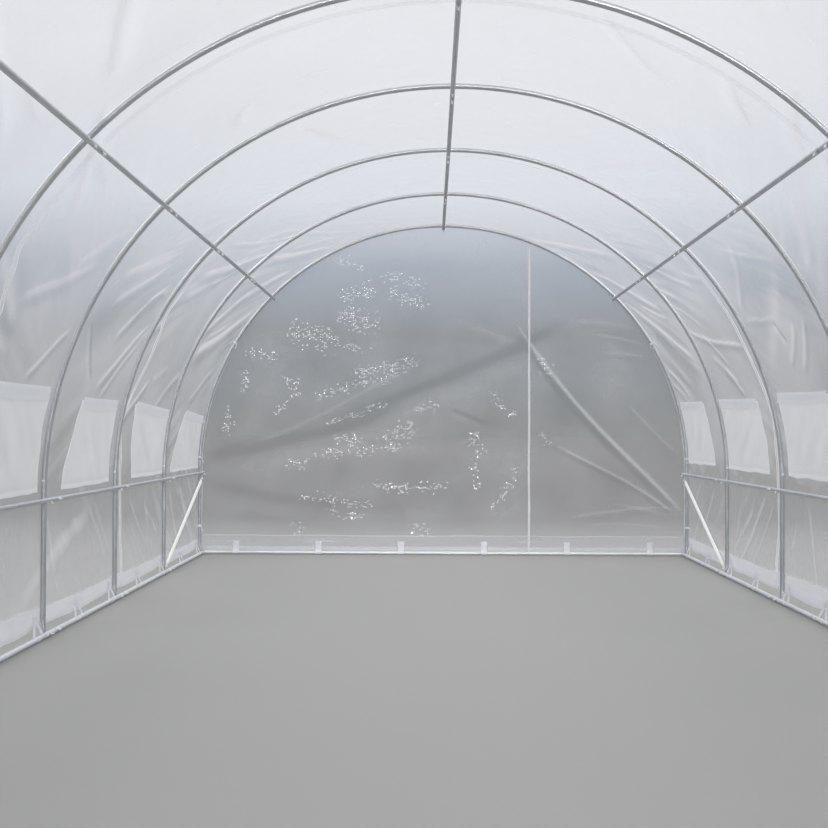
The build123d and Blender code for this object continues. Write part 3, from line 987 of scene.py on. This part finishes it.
GLINT_LINES = (  # start across and up, end across and up, half width of the crumpled strip
    ((-0.66, 1.58), (-0.40, 1.64), 0.030),
    ((-0.36, 1.62), (-0.06, 1.51), 0.024),
    ((-0.42, 1.73), (-0.08, 1.64), 0.020),
    ((-0.68, 1.83), (-0.46, 1.76), 0.016),
    ((-0.66, 1.48), (-0.38, 1.40), 0.040),
    ((-0.98, 1.38), (-0.62, 1.30), 0.045),
    ((-0.62, 1.28), (-0.42, 1.26), 0.012),
    ((-1.24, 1.26), (-1.00, 1.20), 0.014),
    ((-1.21, 1.18), (-1.24, 0.97), 0.014),
    ((-1.32, 0.95), (-1.33, 0.70), 0.010),
    ((-0.99, 1.10), (-0.88, 1.02), 0.018),
    ((-1.04, 0.86), (-0.86, 1.02), 0.014),
    ((-0.80, 0.95), (-0.20, 1.15), 0.018),
    ((-0.58, 1.10), (-0.12, 1.21), 0.020),
    ((-0.74, 0.78), (-0.30, 0.95), 0.010),
    ((-0.68, 0.71), (-0.48, 0.69), 0.018),
    ((-1.00, 0.54), (-0.80, 0.57), 0.012),
    ((-0.82, 0.60), (-0.38, 0.66), 0.014),
    ((-0.38, 0.64), (-0.16, 0.80), 0.040),
    ((-0.18, 0.89), (-0.02, 0.92), 0.016),
    ((-0.94, 0.34), (-0.40, 0.31), 0.012),
    ((-0.48, 0.43), (0.06, 0.41), 0.014),
    ((-0.74, 0.27), (-0.46, 0.23), 0.008),
    ((0.28, 1.01), (0.46, 0.83), 0.016),
    ((0.17, 0.77), (0.25, 0.59), 0.020),
    ((0.19, 0.58), (0.20, 0.38), 0.008),
    ((0.46, 0.57), (0.43, 0.42), 0.008),
    ((0.44, 0.46), (0.30, 0.27), 0.012),
    ((0.59, 1.22), (0.66, 1.09), 0.014),
    ((0.60, 0.76), (0.66, 0.66), 0.014),
    ((-0.95, 0.20), (-0.85, 0.12), 0.016),
    ((-0.22, 0.20), (-0.06, 0.13), 0.018),
)


def wall_relief(x, z):
    """How far an end wall stands out, how white its folds are (partly painted highlight and shade)
    and where it glints.
    """
    inside = wall_radius - np.hypot(x, np.maximum(z - leg_top, 0))
    held = ease(inside, 0.0, 0.16) * ease(z, wall_bottom + 0.08, 0.32)
    relief = sizes().wall_swell * grain(x / 0.75, z / 0.6, 4.2)
    relief = relief + 0.004 * grain(x / 0.22, z / 0.17, 9.1)
    fold = 0.18 * grain(x / 0.3, z / 0.24, 6.9) + 0.06 * grain(x / 0.07, z / 0.05, 2.4)
    for first, last, width, white in WALL_FOLDS:
        height, whiteness = tension_fold(x, z, first, last, width, white)
        relief = relief + math.copysign(sizes().fold_height, white) * height
        fold = fold + whiteness
    glint = np.zeros_like(x)
    for first, last, width in GLINT_LINES:
        off, beside = near_line(x, z, first, last)
        core = 0.74 * np.exp(-0.5 * (off / width) ** 2)
        stray = 0.34 * peak(off, 0, width + 0.05)
        glint = np.maximum(glint, (core + stray) * np.sqrt(beside))
    broken = 0.84 + 0.7 * grain(x / 0.06, z / 0.04, 12.3)
    glint = glint * np.clip(broken, 0, 1.2)
    relief = relief + 0.0006 * np.minimum(glint, 1) * grain(x / 0.024, z / 0.017, 15.8)
    return relief * held, PLAIN + fold * (0.3 + 0.7 * held), glint


def wall_sheet(name, left, right, end, doorway=False):
    """One width of film in an end wall, from its hem up to the round."""
    corner = math.acos(min(abs(right), abs(left), wall_radius) / wall_radius)
    reach_up = math.pi / 2 if left < 0 else corner
    pitch = sizes().wall_pitch * (1.4 if doorway else 1.0)
    ways = [wall_bottom, leg_top, leg_top + wall_radius * reach_up]
    spans, wide = [0, 1], right - left
    inner = door_half / wall_radius
    if doorway:
        ways.insert(2, leg_top + wall_radius * math.asin((door_top - leg_top) / wall_radius))
        spans, wide = [-1, -inner, inner, 1], wall_radius
    sheet, u, way = sheet_grid(name, lines(spans, pitch / wide), lines(ways, pitch))
    angle = np.maximum(way - leg_top, 0) / wall_radius
    z = np.where(way < leg_top, way, leg_top + wall_radius * np.sin(angle))
    half = wall_radius * np.cos(angle)
    if doorway:
        below = way < ways[2] + 1e-6
        edge = np.where(below, door_half, np.minimum(door_half, half * inner))
        outer = np.sign(u) * between(edge, half, (np.abs(u) - inner) / (1 - inner))
        x = np.where(np.abs(u) > inner, outer, u / inner * edge)
    else:
        x = np.maximum(left, -half) + u * (np.minimum(right, half) - np.maximum(left, -half))
    relief, fold, crumple = wall_relief(x, z)
    y = end * (wall_place + relief)
    shape_sheet(sheet, x, y, z, fold=fold, crumple=crumple)
    if doorway:
        select_by(
            sheet, "FACE",
            lambda face: abs(face.center.x) < door_half - 1e-4 and face.center.z < door_top - 1e-4,
        )
        bpy.ops.mesh.delete(type="FACE")
        leave_edit()
    select_whole(sheet)
    bpy.ops.mesh.remove_doubles(threshold=0.0002)
    leave_edit()
    face_outwards(sheet, lambda _: Vector((0, end, 0)))
    return settle_film(sheet, "wall_film")


def wall_hem(name, left, right, end):
    """Doubled film along a wall's foot, whiter where it is welded."""
    height = sizes().wall_hem_height
    profile = [(1.5, 1.0), (-0.5, 1.0), (-1.2, 0.9), (-1.5, 0.5), (-1.2, 0.1), (0, 0.0),
               (1.6, 0.1), (2.2, 0.5), (1.8, 0.9), (1.5, 1.0)]
    band, x, step = sheet_grid(
        name, lines([left, right], 0.025), lines([0, len(profile) - 1], 0.34)
    )
    out, up = (np.interp(step, range(len(profile)), places) for places in zip(*profile))
    z = wall_bottom + up * height
    relief = wall_relief(x, z)[0]
    wavy = 0.004 * grain(x / 0.23, 0 * x + end, 3.7)
    sagging = 0.003 * grain(x / 0.31, up * 0.8, 8.1)
    y = end * (wall_place + 0.0011 + relief + out * 0.0006 + np.abs(sagging))
    weld = peak(up, 0.36, 0.05) * ease(grain(x / 0.2, up, 5.5), -0.25, 0.15)
    strip = ease(-up, -0.38, -0.3)
    streak = peak(up, 0.66 + 0.06 * grain(x / 0.2, 0 * x, 2.2), 0.035)
    top = peak(up, 0.97, 0.035)
    white = 0.95 * strip + 0.5 * top + 0.4 * streak * ease(grain(x / 0.3, up, 9.5), -0.1, 0.2)
    white = white - 0.35 * weld
    z = z + wavy * (0.3 + 0.7 * up)
    shape_sheet(band, x, y, z, lambda _: Vector((0, -end, 0)), fold=white)
    return settle_film(band, "shaded_wall_hem_film")


def wall_edges(name, end):
    """Welded strips just inside an end wall's upright edges, from the hem to the round."""
    low, high = 0.9 * sizes().wall_hem_height + wall_bottom, leg_top + 0.55 * wall_radius
    strips = []
    for side in (-1, 1):
        strip, inset, way = sheet_grid(
            f"{name}_{side}", lines([0.010, 0.022], 0.003), lines([low, leg_top, high], 0.014)
        )
        angle = np.maximum(way - leg_top, 0) / wall_radius
        wavy = 0.002 * grain(way / 0.2, 0 * way + side, end * 2.7)
        reach = wall_radius - inset + wavy
        x = side * reach * np.cos(angle)
        z = np.where(way < leg_top, way, leg_top + reach * np.sin(angle))
        relief = wall_relief(x, z)[0]
        y = end * (wall_place + relief - 0.0009)
        fade = ease(high - way, 0, 0.35)
        white = PLAIN + fade * (0.45 + 0.3 * (np.abs(inset - 0.016) < 0.003))
        shape_sheet(strip, x, y, z, lambda _: Vector((0, -end, 0)), fold=white)
        strips.append(strip)
    return settle_film(join(name, strips))


def wall_seam(name):
    """Upright weld between the rear wall's two widths of film."""
    width = sizes().seam_width
    top = leg_top + math.sqrt(wall_radius**2 - seam_x**2)
    band, x, z = sheet_grid(
        name, lines([seam_x - width / 2, seam_x + width / 2], width / 4),
        lines([wall_bottom, top], 0.012),
    )
    relief = wall_relief(x, z)[0]
    edge = np.abs(x - seam_x) / (width / 2)
    drift = 0.003 * grain(z / 0.3, 0 * z, 7.7)
    pull = 0.004 * peak(z, 0.126, 0.012)
    y = wall_place + relief - 0.0009 - 0.0006 * (1 - edge**2) - pull
    white = 0.75 + 0.25 * (edge < 0.3)
    shape_sheet(band, x + drift, y, z, lambda _: Vector((0, -1, 0)), fold=white)
    return settle_film(band)


# Webbing

def ribbon(name, width, route, thickness=None):
    """Flat webbing drawn out along a route of points, its first edge extruded step by step."""
    route = [Vector(point) for point in route]
    half = Vector(width) / 2
    band = start(name, bpy.ops.mesh.primitive_plane_add, size=1)
    corners = [route[0] - half, route[0] + half, route[1] - half, route[1] + half]
    for vertex, place in zip(band.data.vertices, corners):
        vertex.co = place
    select_by(band, "VERT", lambda corner: corner.index > 1)
    for first, last in zip(route[1:-1], route[2:]):
        bpy.ops.mesh.extrude_region_move(TRANSFORM_OT_translate={"value": last - first})
    leave_edit()
    far = [0.0]
    for first, last in zip(route[:-1], route[1:]):
        far.append(far[-1] + (last - first).length)
    flat = band.data.uv_layers.active.data
    for loop in band.data.loops:
        number = loop.vertex_index
        flat[loop.index].uv = (number % 2 * half.length * 2, far[number // 2])
    thicken = band.modifiers.new("thickness", "SOLIDIFY")
    thicken.thickness = thickness or sizes().webbing_thickness
    thicken.offset = 0
    soften = band.modifiers.new("edges", "BEVEL")
    soften.width = 0.0003
    apply_modifiers(band)
    return band


def around(centre, radius, first, last, steps, plane):
    """Points of an arc in degrees: plane "xz" turns about Y, plane "yz" about X."""
    points = []
    for i in range(steps + 1):
        angle = math.radians(first + (last - first) * i / steps)
        across, up = radius * math.cos(angle), radius * math.sin(angle)
        if plane == "xz":
            points.append(centre + Vector((across, 0, up)))
        else:
            points.append(centre + Vector((0, across, up)))
    return points


def side_loop(side):
    """A-shaped strap: two legs from one stitched point, each wrapped round the base rail."""
    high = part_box("right_straps")[1]
    spread, width = 0.046, 0.024
    wrap = rail_radius + 0.0004 + sizes().webbing_thickness / 2
    centre = Vector((base_rail.x, 0, base_rail.z))
    top = Vector((high.x - sizes().webbing_thickness / 2, 0, high.z))
    parts = []
    for foot in (-1, 1):
        turn = around(centre, wrap, 5, -265, 12, "xz")
        route = [top.lerp(turn[0], i / 4) for i in range(4)] + turn
        for i, point in enumerate(route):
            point.y = foot * spread * min(i / 4, 1.0)
            point.z = max(point.z, sizes().webbing_thickness)
        parts.append(ribbon("leg", (0, width, 0), route))
    patch = ribbon(
        "patch", (0, 0.030, 0),
        [top + Vector((-0.0012, 0, 0.012)), top + Vector((-0.0014, 0, 0)),
         top + Vector((-0.0022, 0, -0.014))],
    )
    loop = join("loop", parts + [patch])
    if side < 0:
        loop.data.transform(Matrix.Scale(-1, 4, (1, 0, 0)))
        select_whole(loop)
        bpy.ops.mesh.normals_make_consistent(inside=False)
        leave_edit()
    return loop


def end_band(end):
    """Webbing on a wall's hem that passes round the base rail and back up."""
    low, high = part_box("rear_straps" if end > 0 else "front_straps")
    face = low.y if end > 0 else high.y
    wrap = rail_radius + 0.0005 + sizes().webbing_thickness / 2
    centre = Vector((0, end_rail.y * end, end_rail.z))
    flat_y = face + end * sizes().webbing_thickness / 2
    first, last = (60, 330) if end > 0 else (120, -150)
    turn = around(centre, wrap, first, last, 12, "yz")
    turn = [Vector((0, p.y, max(p.z, sizes().webbing_thickness))) for p in turn]
    down = [Vector((0, flat_y, z)) for z in (high.z, 0.066, 0.05, 0.038)]
    shoulder_point = Vector((0, (flat_y + turn[0].y) / 2, 0.029))
    return ribbon("band", (0.036, 0, 0), down + [shoulder_point] + turn)


def stitches(centre, width, height, normal):
    """A boxed cross of short raised stitches."""
    half_w, half_h = width / 2, height / 2
    corners = [Vector((x * half_w, y * half_h)) for x, y in ((-1, -1), (1, -1), (1, 1), (-1, 1))]
    along = Vector((0, 0, 1)).cross(normal)
    basis = Matrix((along, Vector((0, 0, 1)), normal)).transposed().to_4x4()
    places = []
    for number, other in ((0, 1), (1, 2), (2, 3), (3, 0), (0, 2), (1, 3)):
        first, last = corners[number], corners[other]
        count = max(2, round((last - first).length / 0.0042))
        lean = math.atan2(last.y - first.y, last.x - first.x)
        for i in range(count):
            spot = first.lerp(last, (i + 0.5) / count)
            place = Matrix.Translation(centre + along * spot.x + Vector((0, 0, spot.y)))
            places.append(place @ basis @ Matrix.Rotation(lean, 4, "Z"))
    stitch = start(
        "stitch", bpy.ops.mesh.primitive_cylinder_add,
        vertices=5, radius=0.00045, depth=0.003, rotation=(0, math.pi / 2, 0),
    )
    bpy.ops.object.transform_apply(location=False, rotation=True, scale=True)
    return copies("stitches", stitch, places)


def wall_tie():
    """White tape knotted round a tube that stands along Z, its ends hanging."""
    reach = tube_radius + 0.0008
    ring = ribbon(
        "ring", (0, 0, 0.011),
        [Vector((reach * math.cos(a), reach * math.sin(a), 0.002 * math.sin(2 * a)))
         for a in np.linspace(0, 2 * math.pi, 19)],
    )
    knot = start("knot", bpy.ops.mesh.primitive_ico_sphere_add, subdivisions=3, radius=0.0075)
    for vertex in knot.data.vertices:
        bulge = 1 + 0.35 * noise.noise(vertex.co * 180)
        vertex.co = Vector((vertex.co.x * 1.15, vertex.co.y * 0.8, vertex.co.z)) * bulge
        vertex.co += Vector((0, -reach - 0.003, 0))
    tails = []
    for side, drop in ((1, 0.028), (-1, 0.021)):
        route = [Vector((side * 0.003, -reach - 0.004, 0)),
                 Vector((side * 0.009, -reach - 0.009, 0.002)),
                 Vector((side * 0.015, -reach - 0.010, -0.004)),
                 Vector((side * 0.018, -reach - 0.008, -drop * 0.6)),
                 Vector((side * 0.022, -reach - 0.007, -drop))]
        tails.append(ribbon("tail", (0.003, 0, 0.008), route))
    return join("tie", [ring, knot] + tails)


# Bolts

def bolt(reach, headed):
    """A bolt along Z through a thickness that ends at plus and minus its reach."""
    radius = sizes().bolt_radius
    washer = cylinder("washer", 20, radius * 2.3, 0.001, reach + 0.0005)
    nut = cylinder("nut", 6, radius * 1.9, 0.005, reach + 0.0035)
    bpy.ops.object.mode_set(mode="EDIT")
    bpy.ops.mesh.bevel(offset=0.0006, segments=1, affect="EDGES")
    leave_edit()
    end = cylinder("end", 12, radius, 0.004, reach + 0.008)
    select_by(end, "FACE", lambda face: face.normal.z > 0.9)
    bpy.ops.mesh.inset(thickness=0.0008)
    bpy.ops.transform.translate(value=(0, 0, 0.0008))
    leave_edit()
    parts = [washer, nut, end]
    if headed:
        head = cylinder("head", 16, radius * 2.1, 0.0015, -reach - 0.00075)
        select_by(head, "FACE", lambda face: face.normal.z < -0.9)
        for inward, rise in ((0.0012, -0.0012), (0.0018, -0.0009), (0.0018, -0.0003)):
            bpy.ops.mesh.inset(thickness=inward)
            bpy.ops.transform.translate(value=(0, 0, rise))
        leave_edit()
        parts.append(head)
    for part in parts:
        choose(part)
        bpy.ops.object.transform_apply(location=True, rotation=True, scale=True)
    return join("bolt", parts)


def place_bolts(name, places, reach, headed=True):
    settle(copies(name, bolt(reach, headed), places), "zinc_bolt")


def aimed(place, direction):
    """A place and turn that points a piece's Z in a direction."""
    turn = Vector(direction).to_track_quat("Z", "Y").to_matrix().to_4x4()
    return Matrix.Translation(Vector(place)) @ turn


def rail_crossings():
    """Axis places across and up of the five upper rails, with the way in to the tunnel."""
    centre = Vector((0, leg_top))
    upper = [Vector((0, ridge.z)), Vector((shoulder.x, shoulder.z)),
             Vector((-shoulder.x, shoulder.z))]
    found = [(place, (centre - place).normalized()) for place in upper]
    found.append((Vector((waist.x, waist.z)), Vector((-1, 0))))
    found.append((Vector((-waist.x, waist.z)), Vector((1, 0))))
    return found


# Operators, one for each group of pieces

class TUNNEL_OT_finish_frame(bpy.types.Operator):
    """Give the hoops, legs, rails and braces their metal finishes"""

    bl_idname = "tunnel.finish_frame"
    bl_label = "Finish the frame"

    def execute(self, context):
        looks = {word: f"zinc_{word}" for word in ("hoop", "legs", "purlin", "waist", "base")}
        looks["brace"] = "coated_tube"
        for name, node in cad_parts.items():
            for word, look in looks.items():
                if word in name:
                    node.data.materials[0] = finish_for(look)
        return {"FINISHED"}


class TUNNEL_OT_add_bolts(bpy.types.Operator):
    """Bolt the rails, joints, feet and braces together"""

    bl_idname = "tunnel.add_bolts"
    bl_label = "Add the bolts"

    def execute(self, context):
        joint_places = [y + BOLT_PAST_HOOP for y in hoop_places[1:-1]]
        crossings, joints, feet, arch_joints, ends = [], [], [], [], []
        for place, inward in rail_crossings():
            into = Vector((inward.x, 0, inward.y))
            tilted = into if inward.y else into + Vector((0, 0, -1))
            crossings += [aimed((place.x, y, place.y), tilted) for y in hoop_places]
            joints += [aimed((place.x, y, place.y), into) for y in joint_places]
        for side in (-1, 1):
            inside = (-side, 0, 0)
            x = side * base_rail.x
            joints += [aimed((x, y, base_rail.z), inside) for y in joint_places]
            x = side * (half_width - 2 * tube_radius - FOOT_BOLT_INSET)
            feet += [aimed((x, y, base_rail.z), inside) for y in hoop_places]
            x, z = side * hoop_radius * math.cos(LEG_BOLT_TURN), leg_top + LEG_BOLT_RISE
            arch_joints += [aimed((x, y, z), (0, -1, 0)) for y in hoop_places]
        for name in ("rear_left", "rear_right", "front_left", "front_right"):
            low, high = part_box(f"{name}_brace")
            inside = (-math.copysign(1, low.x), 0, 0)
            x = (low.x + high.x) / 2
            top_y, foot_y = high.y - FLAT_HALF, low.y + FLAT_HALF
            if high.y < 0:
                top_y, foot_y = foot_y, top_y
            ends.append(aimed((x, top_y, high.z - FLAT_HALF), inside))
            ends.append(aimed((x, foot_y, low.z + FLAT_HALF), inside))
        place_bolts("crossing_bolts", crossings, rail_radius, headed=False)
        place_bolts("joint_bolts", joints, rail_radius)
        place_bolts("foot_bolts", feet, 0.0143)
        place_bolts("leg_bolts", arch_joints, tube_radius)
        place_bolts("brace_bolts", ends, 0.002, headed=False)
        return {"FINISHED"}


class TUNNEL_OT_stretch_cover(bpy.types.Operator):
    """Stretch the three widths of film over the hoops, with hems and weld seams"""

    bl_idname = "tunnel.stretch_cover"
    bl_label = "Stretch the cover"

    def execute(self, context):
        for name, (low, high) in panels.items():
            panel = cover_panel(name, low.y, high.y)
            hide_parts(f"cover_{name}")
            hems = hem_band(f"hems_{name}", low.y, high.y)
        for number, strength in ((1, 0.5), (2, 1.0)):
            seam = cover_seam(f"cover_seam_{number}", hoop_places[2 * number], strength)
        return {"FINISHED"}


class TUNNEL_OT_hang_windows(bpy.types.Operator):
    """Weld the mesh windows in and sew their header bands on"""

    bl_idname = "tunnel.hang_windows"
    bl_label = "Hang the windows"

    def execute(self, context):
        for word, side in (("left", -1), ("right", 1)):
            for number, y_start in enumerate(window_starts, start=1):
                pane = window_pane(f"{word}_window_{number}", side, y_start)
                header = window_header(f"{word}_header_{number}", side, y_start)
                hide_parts(f"{word}_window_headers")
        return {"FINISHED"}


class TUNNEL_OT_close_rear(bpy.types.Operator):
    """Close the rear end with its two widths of film, their weld and the hem"""

    bl_idname = "tunnel.close_rear"
    bl_label = "Close the rear"

    def execute(self, context):
        wide = wall_sheet("rear_film_wide", -wall_radius, seam_x, 1)
        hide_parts("rear_wall_wide")
        hem = wall_hem("rear_hem", -wall_radius, wall_radius, 1)
        seam = wall_seam("rear_seam")
        edges = wall_edges("rear_edge_welds", 1)
        narrow = wall_sheet("rear_film_narrow", seam_x, wall_radius, 1)
        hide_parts("rear_wall_narrow")
        return {"FINISHED"}


class TUNNEL_OT_hang_front(bpy.types.Operator):
    """Hang the front wall with its doorway, tape its edges and add its hems"""

    bl_idname = "tunnel.hang_front"
    bl_label = "Hang the front"

    def execute(self, context):
        front = wall_sheet("front_film", -wall_radius, wall_radius, -1, doorway=True)
        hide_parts("front_wall")
        carried = [
            wall_hem("front_hem_left", -wall_radius, -door_half, -1),
            wall_hem("front_hem_right", door_half, wall_radius, -1),
            wall_edges("front_edge_welds", -1),
        ]
        y = -wall_place + 0.0018
        edges = []
        for x in (-door_half - 0.013, door_half + 0.013):
            heights = np.linspace(wall_bottom + 0.002, door_top + 0.024, 40)
            route = [(x, y + 0.0006 * math.sin(z * 9), z) for z in heights]
            edges.append(ribbon("edge", (0.028, 0, 0), route))
        across = [(x, y, door_top + 0.013) for x in np.linspace(-door_half, door_half, 30)]
        edges.append(ribbon("lintel", (0, 0, 0.028), across))
        tapes = settle(join("doorway_tapes", edges))
        return {"FINISHED"}


class TUNNEL_OT_roll_door(bpy.types.Operator):
    """Roll the door film up over the doorway and tie it"""

    bl_idname = "tunnel.roll_door"
    bl_label = "Roll the door up"

    def execute(self, context):
        outer = (door_high.z - door_low.z) / 2
        centre_y, centre_z = middle("door_roll").y, middle("door_roll").z
        turns, inner = sizes().roll_turns, 0.008
        roll, x, turn = sheet_grid(
            "rolled_door", lines([-door_half + 0.004, door_half - 0.004], 0.026),
            lines([0, turns], 1 / 24),
        )
        share = turn / turns
        radius = inner + (outer - 0.002 - inner) * share
        angle = 2 * math.pi * turn
        tied = peak(x, -DOOR_TIE_X, 0.05) + peak(x, DOOR_TIE_X, 0.05)
        slack = grain(x / 0.25, share * 3, 2.8) + 0.5 * grain(x / 0.08, angle / 2, 5.1)
        radius = radius * (1 - 0.06 * tied * share) + 0.0016 * slack * share
        ends = 0.007 * grain(turn * 0.7, 0 * turn + np.sign(x), 3.3)
        ends = ends * ease(np.abs(x), 0.5, door_half)
        sag = -0.003 * (1 - tied) * share
        shape_sheet(
            roll, x + np.sign(x) * ends, centre_y + radius * np.cos(angle),
            centre_z + radius * np.sin(angle) + sag,
            lambda place: Vector((0, place.y - centre_y, place.z - centre_z)),
            fold=0.3 + 0.6 * creases(x / 0.14, angle / 5, 7.2), crumple=0.4 + 0 * x,
        )
        settle_film(roll, "rolled_film")
        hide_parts("door_roll")
        ties = []
        low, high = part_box("door_ties")
        hold = (high.z - low.z) / 2 - 0.0006
        for side in (-1, 1):
            x = side * DOOR_TIE_X
            hub = Vector((x, centre_y, centre_z))
            ring = around(hub, hold - 0.0008, 100, 460, 30, "yz")
            hang = [(x, -wall_place + 0.0016, door_top + 0.10),
                    (x, -wall_place + 0.002, door_top + 0.075),
                    hub + Vector((0, -hold * 0.80, hold * 0.62))]
            ties.append(ribbon("tie", (0.025, 0, 0), ring, 0.001))
            ties.append(ribbon("hanger", (0.025, 0, 0), hang, 0.001))
        made = settle(join("door_tie_bands", ties))
        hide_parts("door_ties")
        return {"FINISHED"}


class TUNNEL_OT_loop_straps(bpy.types.Operator):
    """Loop the hems' straps round the base rails"""

    bl_idname = "tunnel.loop_straps"
    bl_label = "Loop the straps"

    def execute(self, context):
        low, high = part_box("right_straps")
        steps = range(2 * len(hoops) - 2)
        first = (low.y + high.y) / 2 - (len(steps) - 1) * bay / 4
        places = [Matrix.Translation((0, first + i * bay / 2, 0)) for i in steps]
        for word, side in (("left", -1), ("right", 1)):
            loops = settle(copies(f"{word}_strap_loops", side_loop(side), places))
            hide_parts(f"{word}_straps")
        for word, end in (("rear", 1), ("front", -1)):
            spots = [(i - 2.5) * STRAP_PITCH for i in range(6)]
            spots = [
                Matrix.Translation((x, 0, 0)) for x in spots if end > 0 or abs(x) > door_half
            ]
            low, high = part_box(f"{word}_straps")
            face = low.y if end > 0 else high.y
            bands = copies("bands", end_band(end), spots)
            centre = Vector((0, face - end * 0.0002, 0.064))
            sewn = copies("sewn", stitches(centre, 0.026, 0.022, Vector((0, -end, 0))), spots)
            straps = settle(join(f"{word}_strap_bands", [bands, sewn]))
            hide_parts(f"{word}_straps")
        return {"FINISHED"}


class TUNNEL_OT_tie_walls(bpy.types.Operator):
    """Tie the end walls to the end hoops"""

    bl_idname = "tunnel.tie_walls"
    bl_label = "Tie the walls"

    def execute(self, context):
        for word, end, y in (("rear", 1, hoop_places[-1]), ("front", -1, hoop_places[0])):
            places = []
            for side in (-1, 1):
                for z in WALL_TIE_HEIGHTS:
                    lean = math.asin(max(z - leg_top, 0) / hoop_radius)
                    x = side * hoop_radius * math.cos(lean)
                    turn = Matrix.Rotation(-side * lean, 4, "Y")
                    facing = Matrix.Rotation(0 if end > 0 else math.pi, 4, "Z")
                    places.append(Matrix.Translation((x, y, z)) @ turn @ facing)
            settle(copies(f"{word}_wall_ties", wall_tie(), places))
        return {"FINISHED"}


class TUNNEL_OT_set_stage(bpy.types.Operator):
    """Lay the floor, light the studio and set the camera"""

    bl_idname = "tunnel.set_stage"
    bl_label = "Set the stage"

    def execute(self, context):
        floor = start("studio_floor", bpy.ops.mesh.primitive_plane_add, size=400)
        floor.data.materials.append(finish_for("matt_floor"))
        self.sky(context)
        self.lights()
        self.camera(context)
        context.scene.view_settings.view_transform = "Standard"
        return {"FINISHED"}

    def sky(self, context):
        """Bright overhead, mid grey near the horizon."""
        nodes = Nodes(bpy.data.worlds.new("studio_sky"))
        context.scene.world = nodes.owner
        way = nodes.add("TexCoord", output="Generated")
        height = nodes.maths("MULTIPLY", nodes.add("SeparateXYZ", {0: way}, "Z"), 2.0)
        colour = nodes.ramp(
            height,
            (0.0, (0.22, 0.23, 0.23)), (0.16, (0.23, 0.25, 0.27)), (0.27, (0.36, 0.41, 0.48)),
            (0.38, (0.71, 0.76, 0.84)), (0.60, (0.91, 0.92, 0.97)), (1.0, (0.99, 0.98, 1.0)),
        )
        glow = nodes.add("Background", {"Color": colour, "Strength": 1.0})
        nodes.node("OutputWorld", {"Surface": glow})

    def lights(self):
        """A large soft box on each side, one in front and one narrowed on the rear wall."""
        boxes = (
            ("left", (-3.6, 1.4, 4.4), (0, 1.4, 0.8), 3.0, 74.0, 180),
            ("right", (3.6, 1.6, 4.4), (0, 1.6, 0.8), 3.0, 78.0, 180),
            ("fill", (1.5, -7.5, 3.2), (0, 2.0, 1.0), 1.6, 60.0, 180),
            ("front", (0.3, -8.0, 2.4), (0, 3.0, 0.4), 1.2, 8.5, 30),
        )
        for name, place, aim, size, power, spread in boxes:
            bpy.ops.object.light_add(type="AREA", location=place)
            lamp = bpy.context.object
            lamp.name = name
            lamp.data.size = size
            lamp.data.energy = power
            lamp.data.spread = math.radians(spread)
            lamp.visible_camera = False
            lamp.rotation_euler = (Vector(aim) - Vector(place)).to_track_quat("-Z", "Y").to_euler()

    def camera(self, context):
        """Looks in through the doorway from just outside the front."""
        place = Vector((-0.0791, -4.4014, 0.7540))
        yaw, pitch, roll = (math.radians(a) for a in (-0.757, 0.852, 0.194))
        ahead = Vector(
            (math.sin(yaw) * math.cos(pitch), math.cos(yaw) * math.cos(pitch), math.sin(pitch))
        )
        level = Vector((math.cos(yaw), -math.sin(yaw), 0))
        upright = level.cross(ahead)
        right = level * math.cos(roll) + upright * math.sin(roll)
        up = upright * math.cos(roll) - level * math.sin(roll)
        bpy.ops.object.camera_add()
        camera = context.object
        camera.data.sensor_width = 36.0
        camera.data.lens = 36.0 * FOCAL_LENGTH
        camera.data.clip_start, camera.data.clip_end = 0.01, 500
        basis = Matrix((right, up, -ahead)).transposed().to_4x4()
        camera.matrix_world = Matrix.Translation(place) @ basis
        context.scene.camera = camera


class TUNNEL_PT_panel(bpy.types.Panel):
    """The tunnel's sizes, colours and steps"""

    bl_idname = "TUNNEL_PT_panel"
    bl_label = "Polytunnel"
    bl_space_type = "VIEW_3D"
    bl_region_type = "UI"
    bl_category = "Polytunnel"

    def draw(self, context):
        for group in (context.scene.tunnel_sizes, context.scene.tunnel_colours):
            for name in group.__annotations__:
                self.layout.prop(group, name)
        for step in STEPS:
            self.layout.operator(step.bl_idname)


STEPS = (
    TUNNEL_OT_finish_frame,
    TUNNEL_OT_add_bolts,
    TUNNEL_OT_stretch_cover,
    TUNNEL_OT_hang_windows,
    TUNNEL_OT_close_rear,
    TUNNEL_OT_hang_front,
    TUNNEL_OT_roll_door,
    TUNNEL_OT_loop_straps,
    TUNNEL_OT_tie_walls,
    TUNNEL_OT_set_stage,
)
CLASSES = (TunnelSizes, TunnelColours) + STEPS + (TUNNEL_PT_panel,)


def register():
    for kind in CLASSES:
        bpy.utils.register_class(kind)
    bpy.types.Scene.tunnel_sizes = PointerProperty(type=TunnelSizes)
    bpy.types.Scene.tunnel_colours = PointerProperty(type=TunnelColours)


def unregister():
    del bpy.types.Scene.tunnel_colours
    del bpy.types.Scene.tunnel_sizes
    for kind in reversed(CLASSES):
        bpy.utils.unregister_class(kind)


def main():
    register()
    bpy.ops.tunnel.finish_frame()
    bpy.ops.tunnel.add_bolts()
    bpy.ops.tunnel.stretch_cover()
    bpy.ops.tunnel.hang_windows()
    bpy.ops.tunnel.close_rear()
    bpy.ops.tunnel.hang_front()
    bpy.ops.tunnel.roll_door()
    bpy.ops.tunnel.loop_straps()
    bpy.ops.tunnel.tie_walls()
    bpy.ops.tunnel.set_stage()


if __name__ == "__main__":
    main()
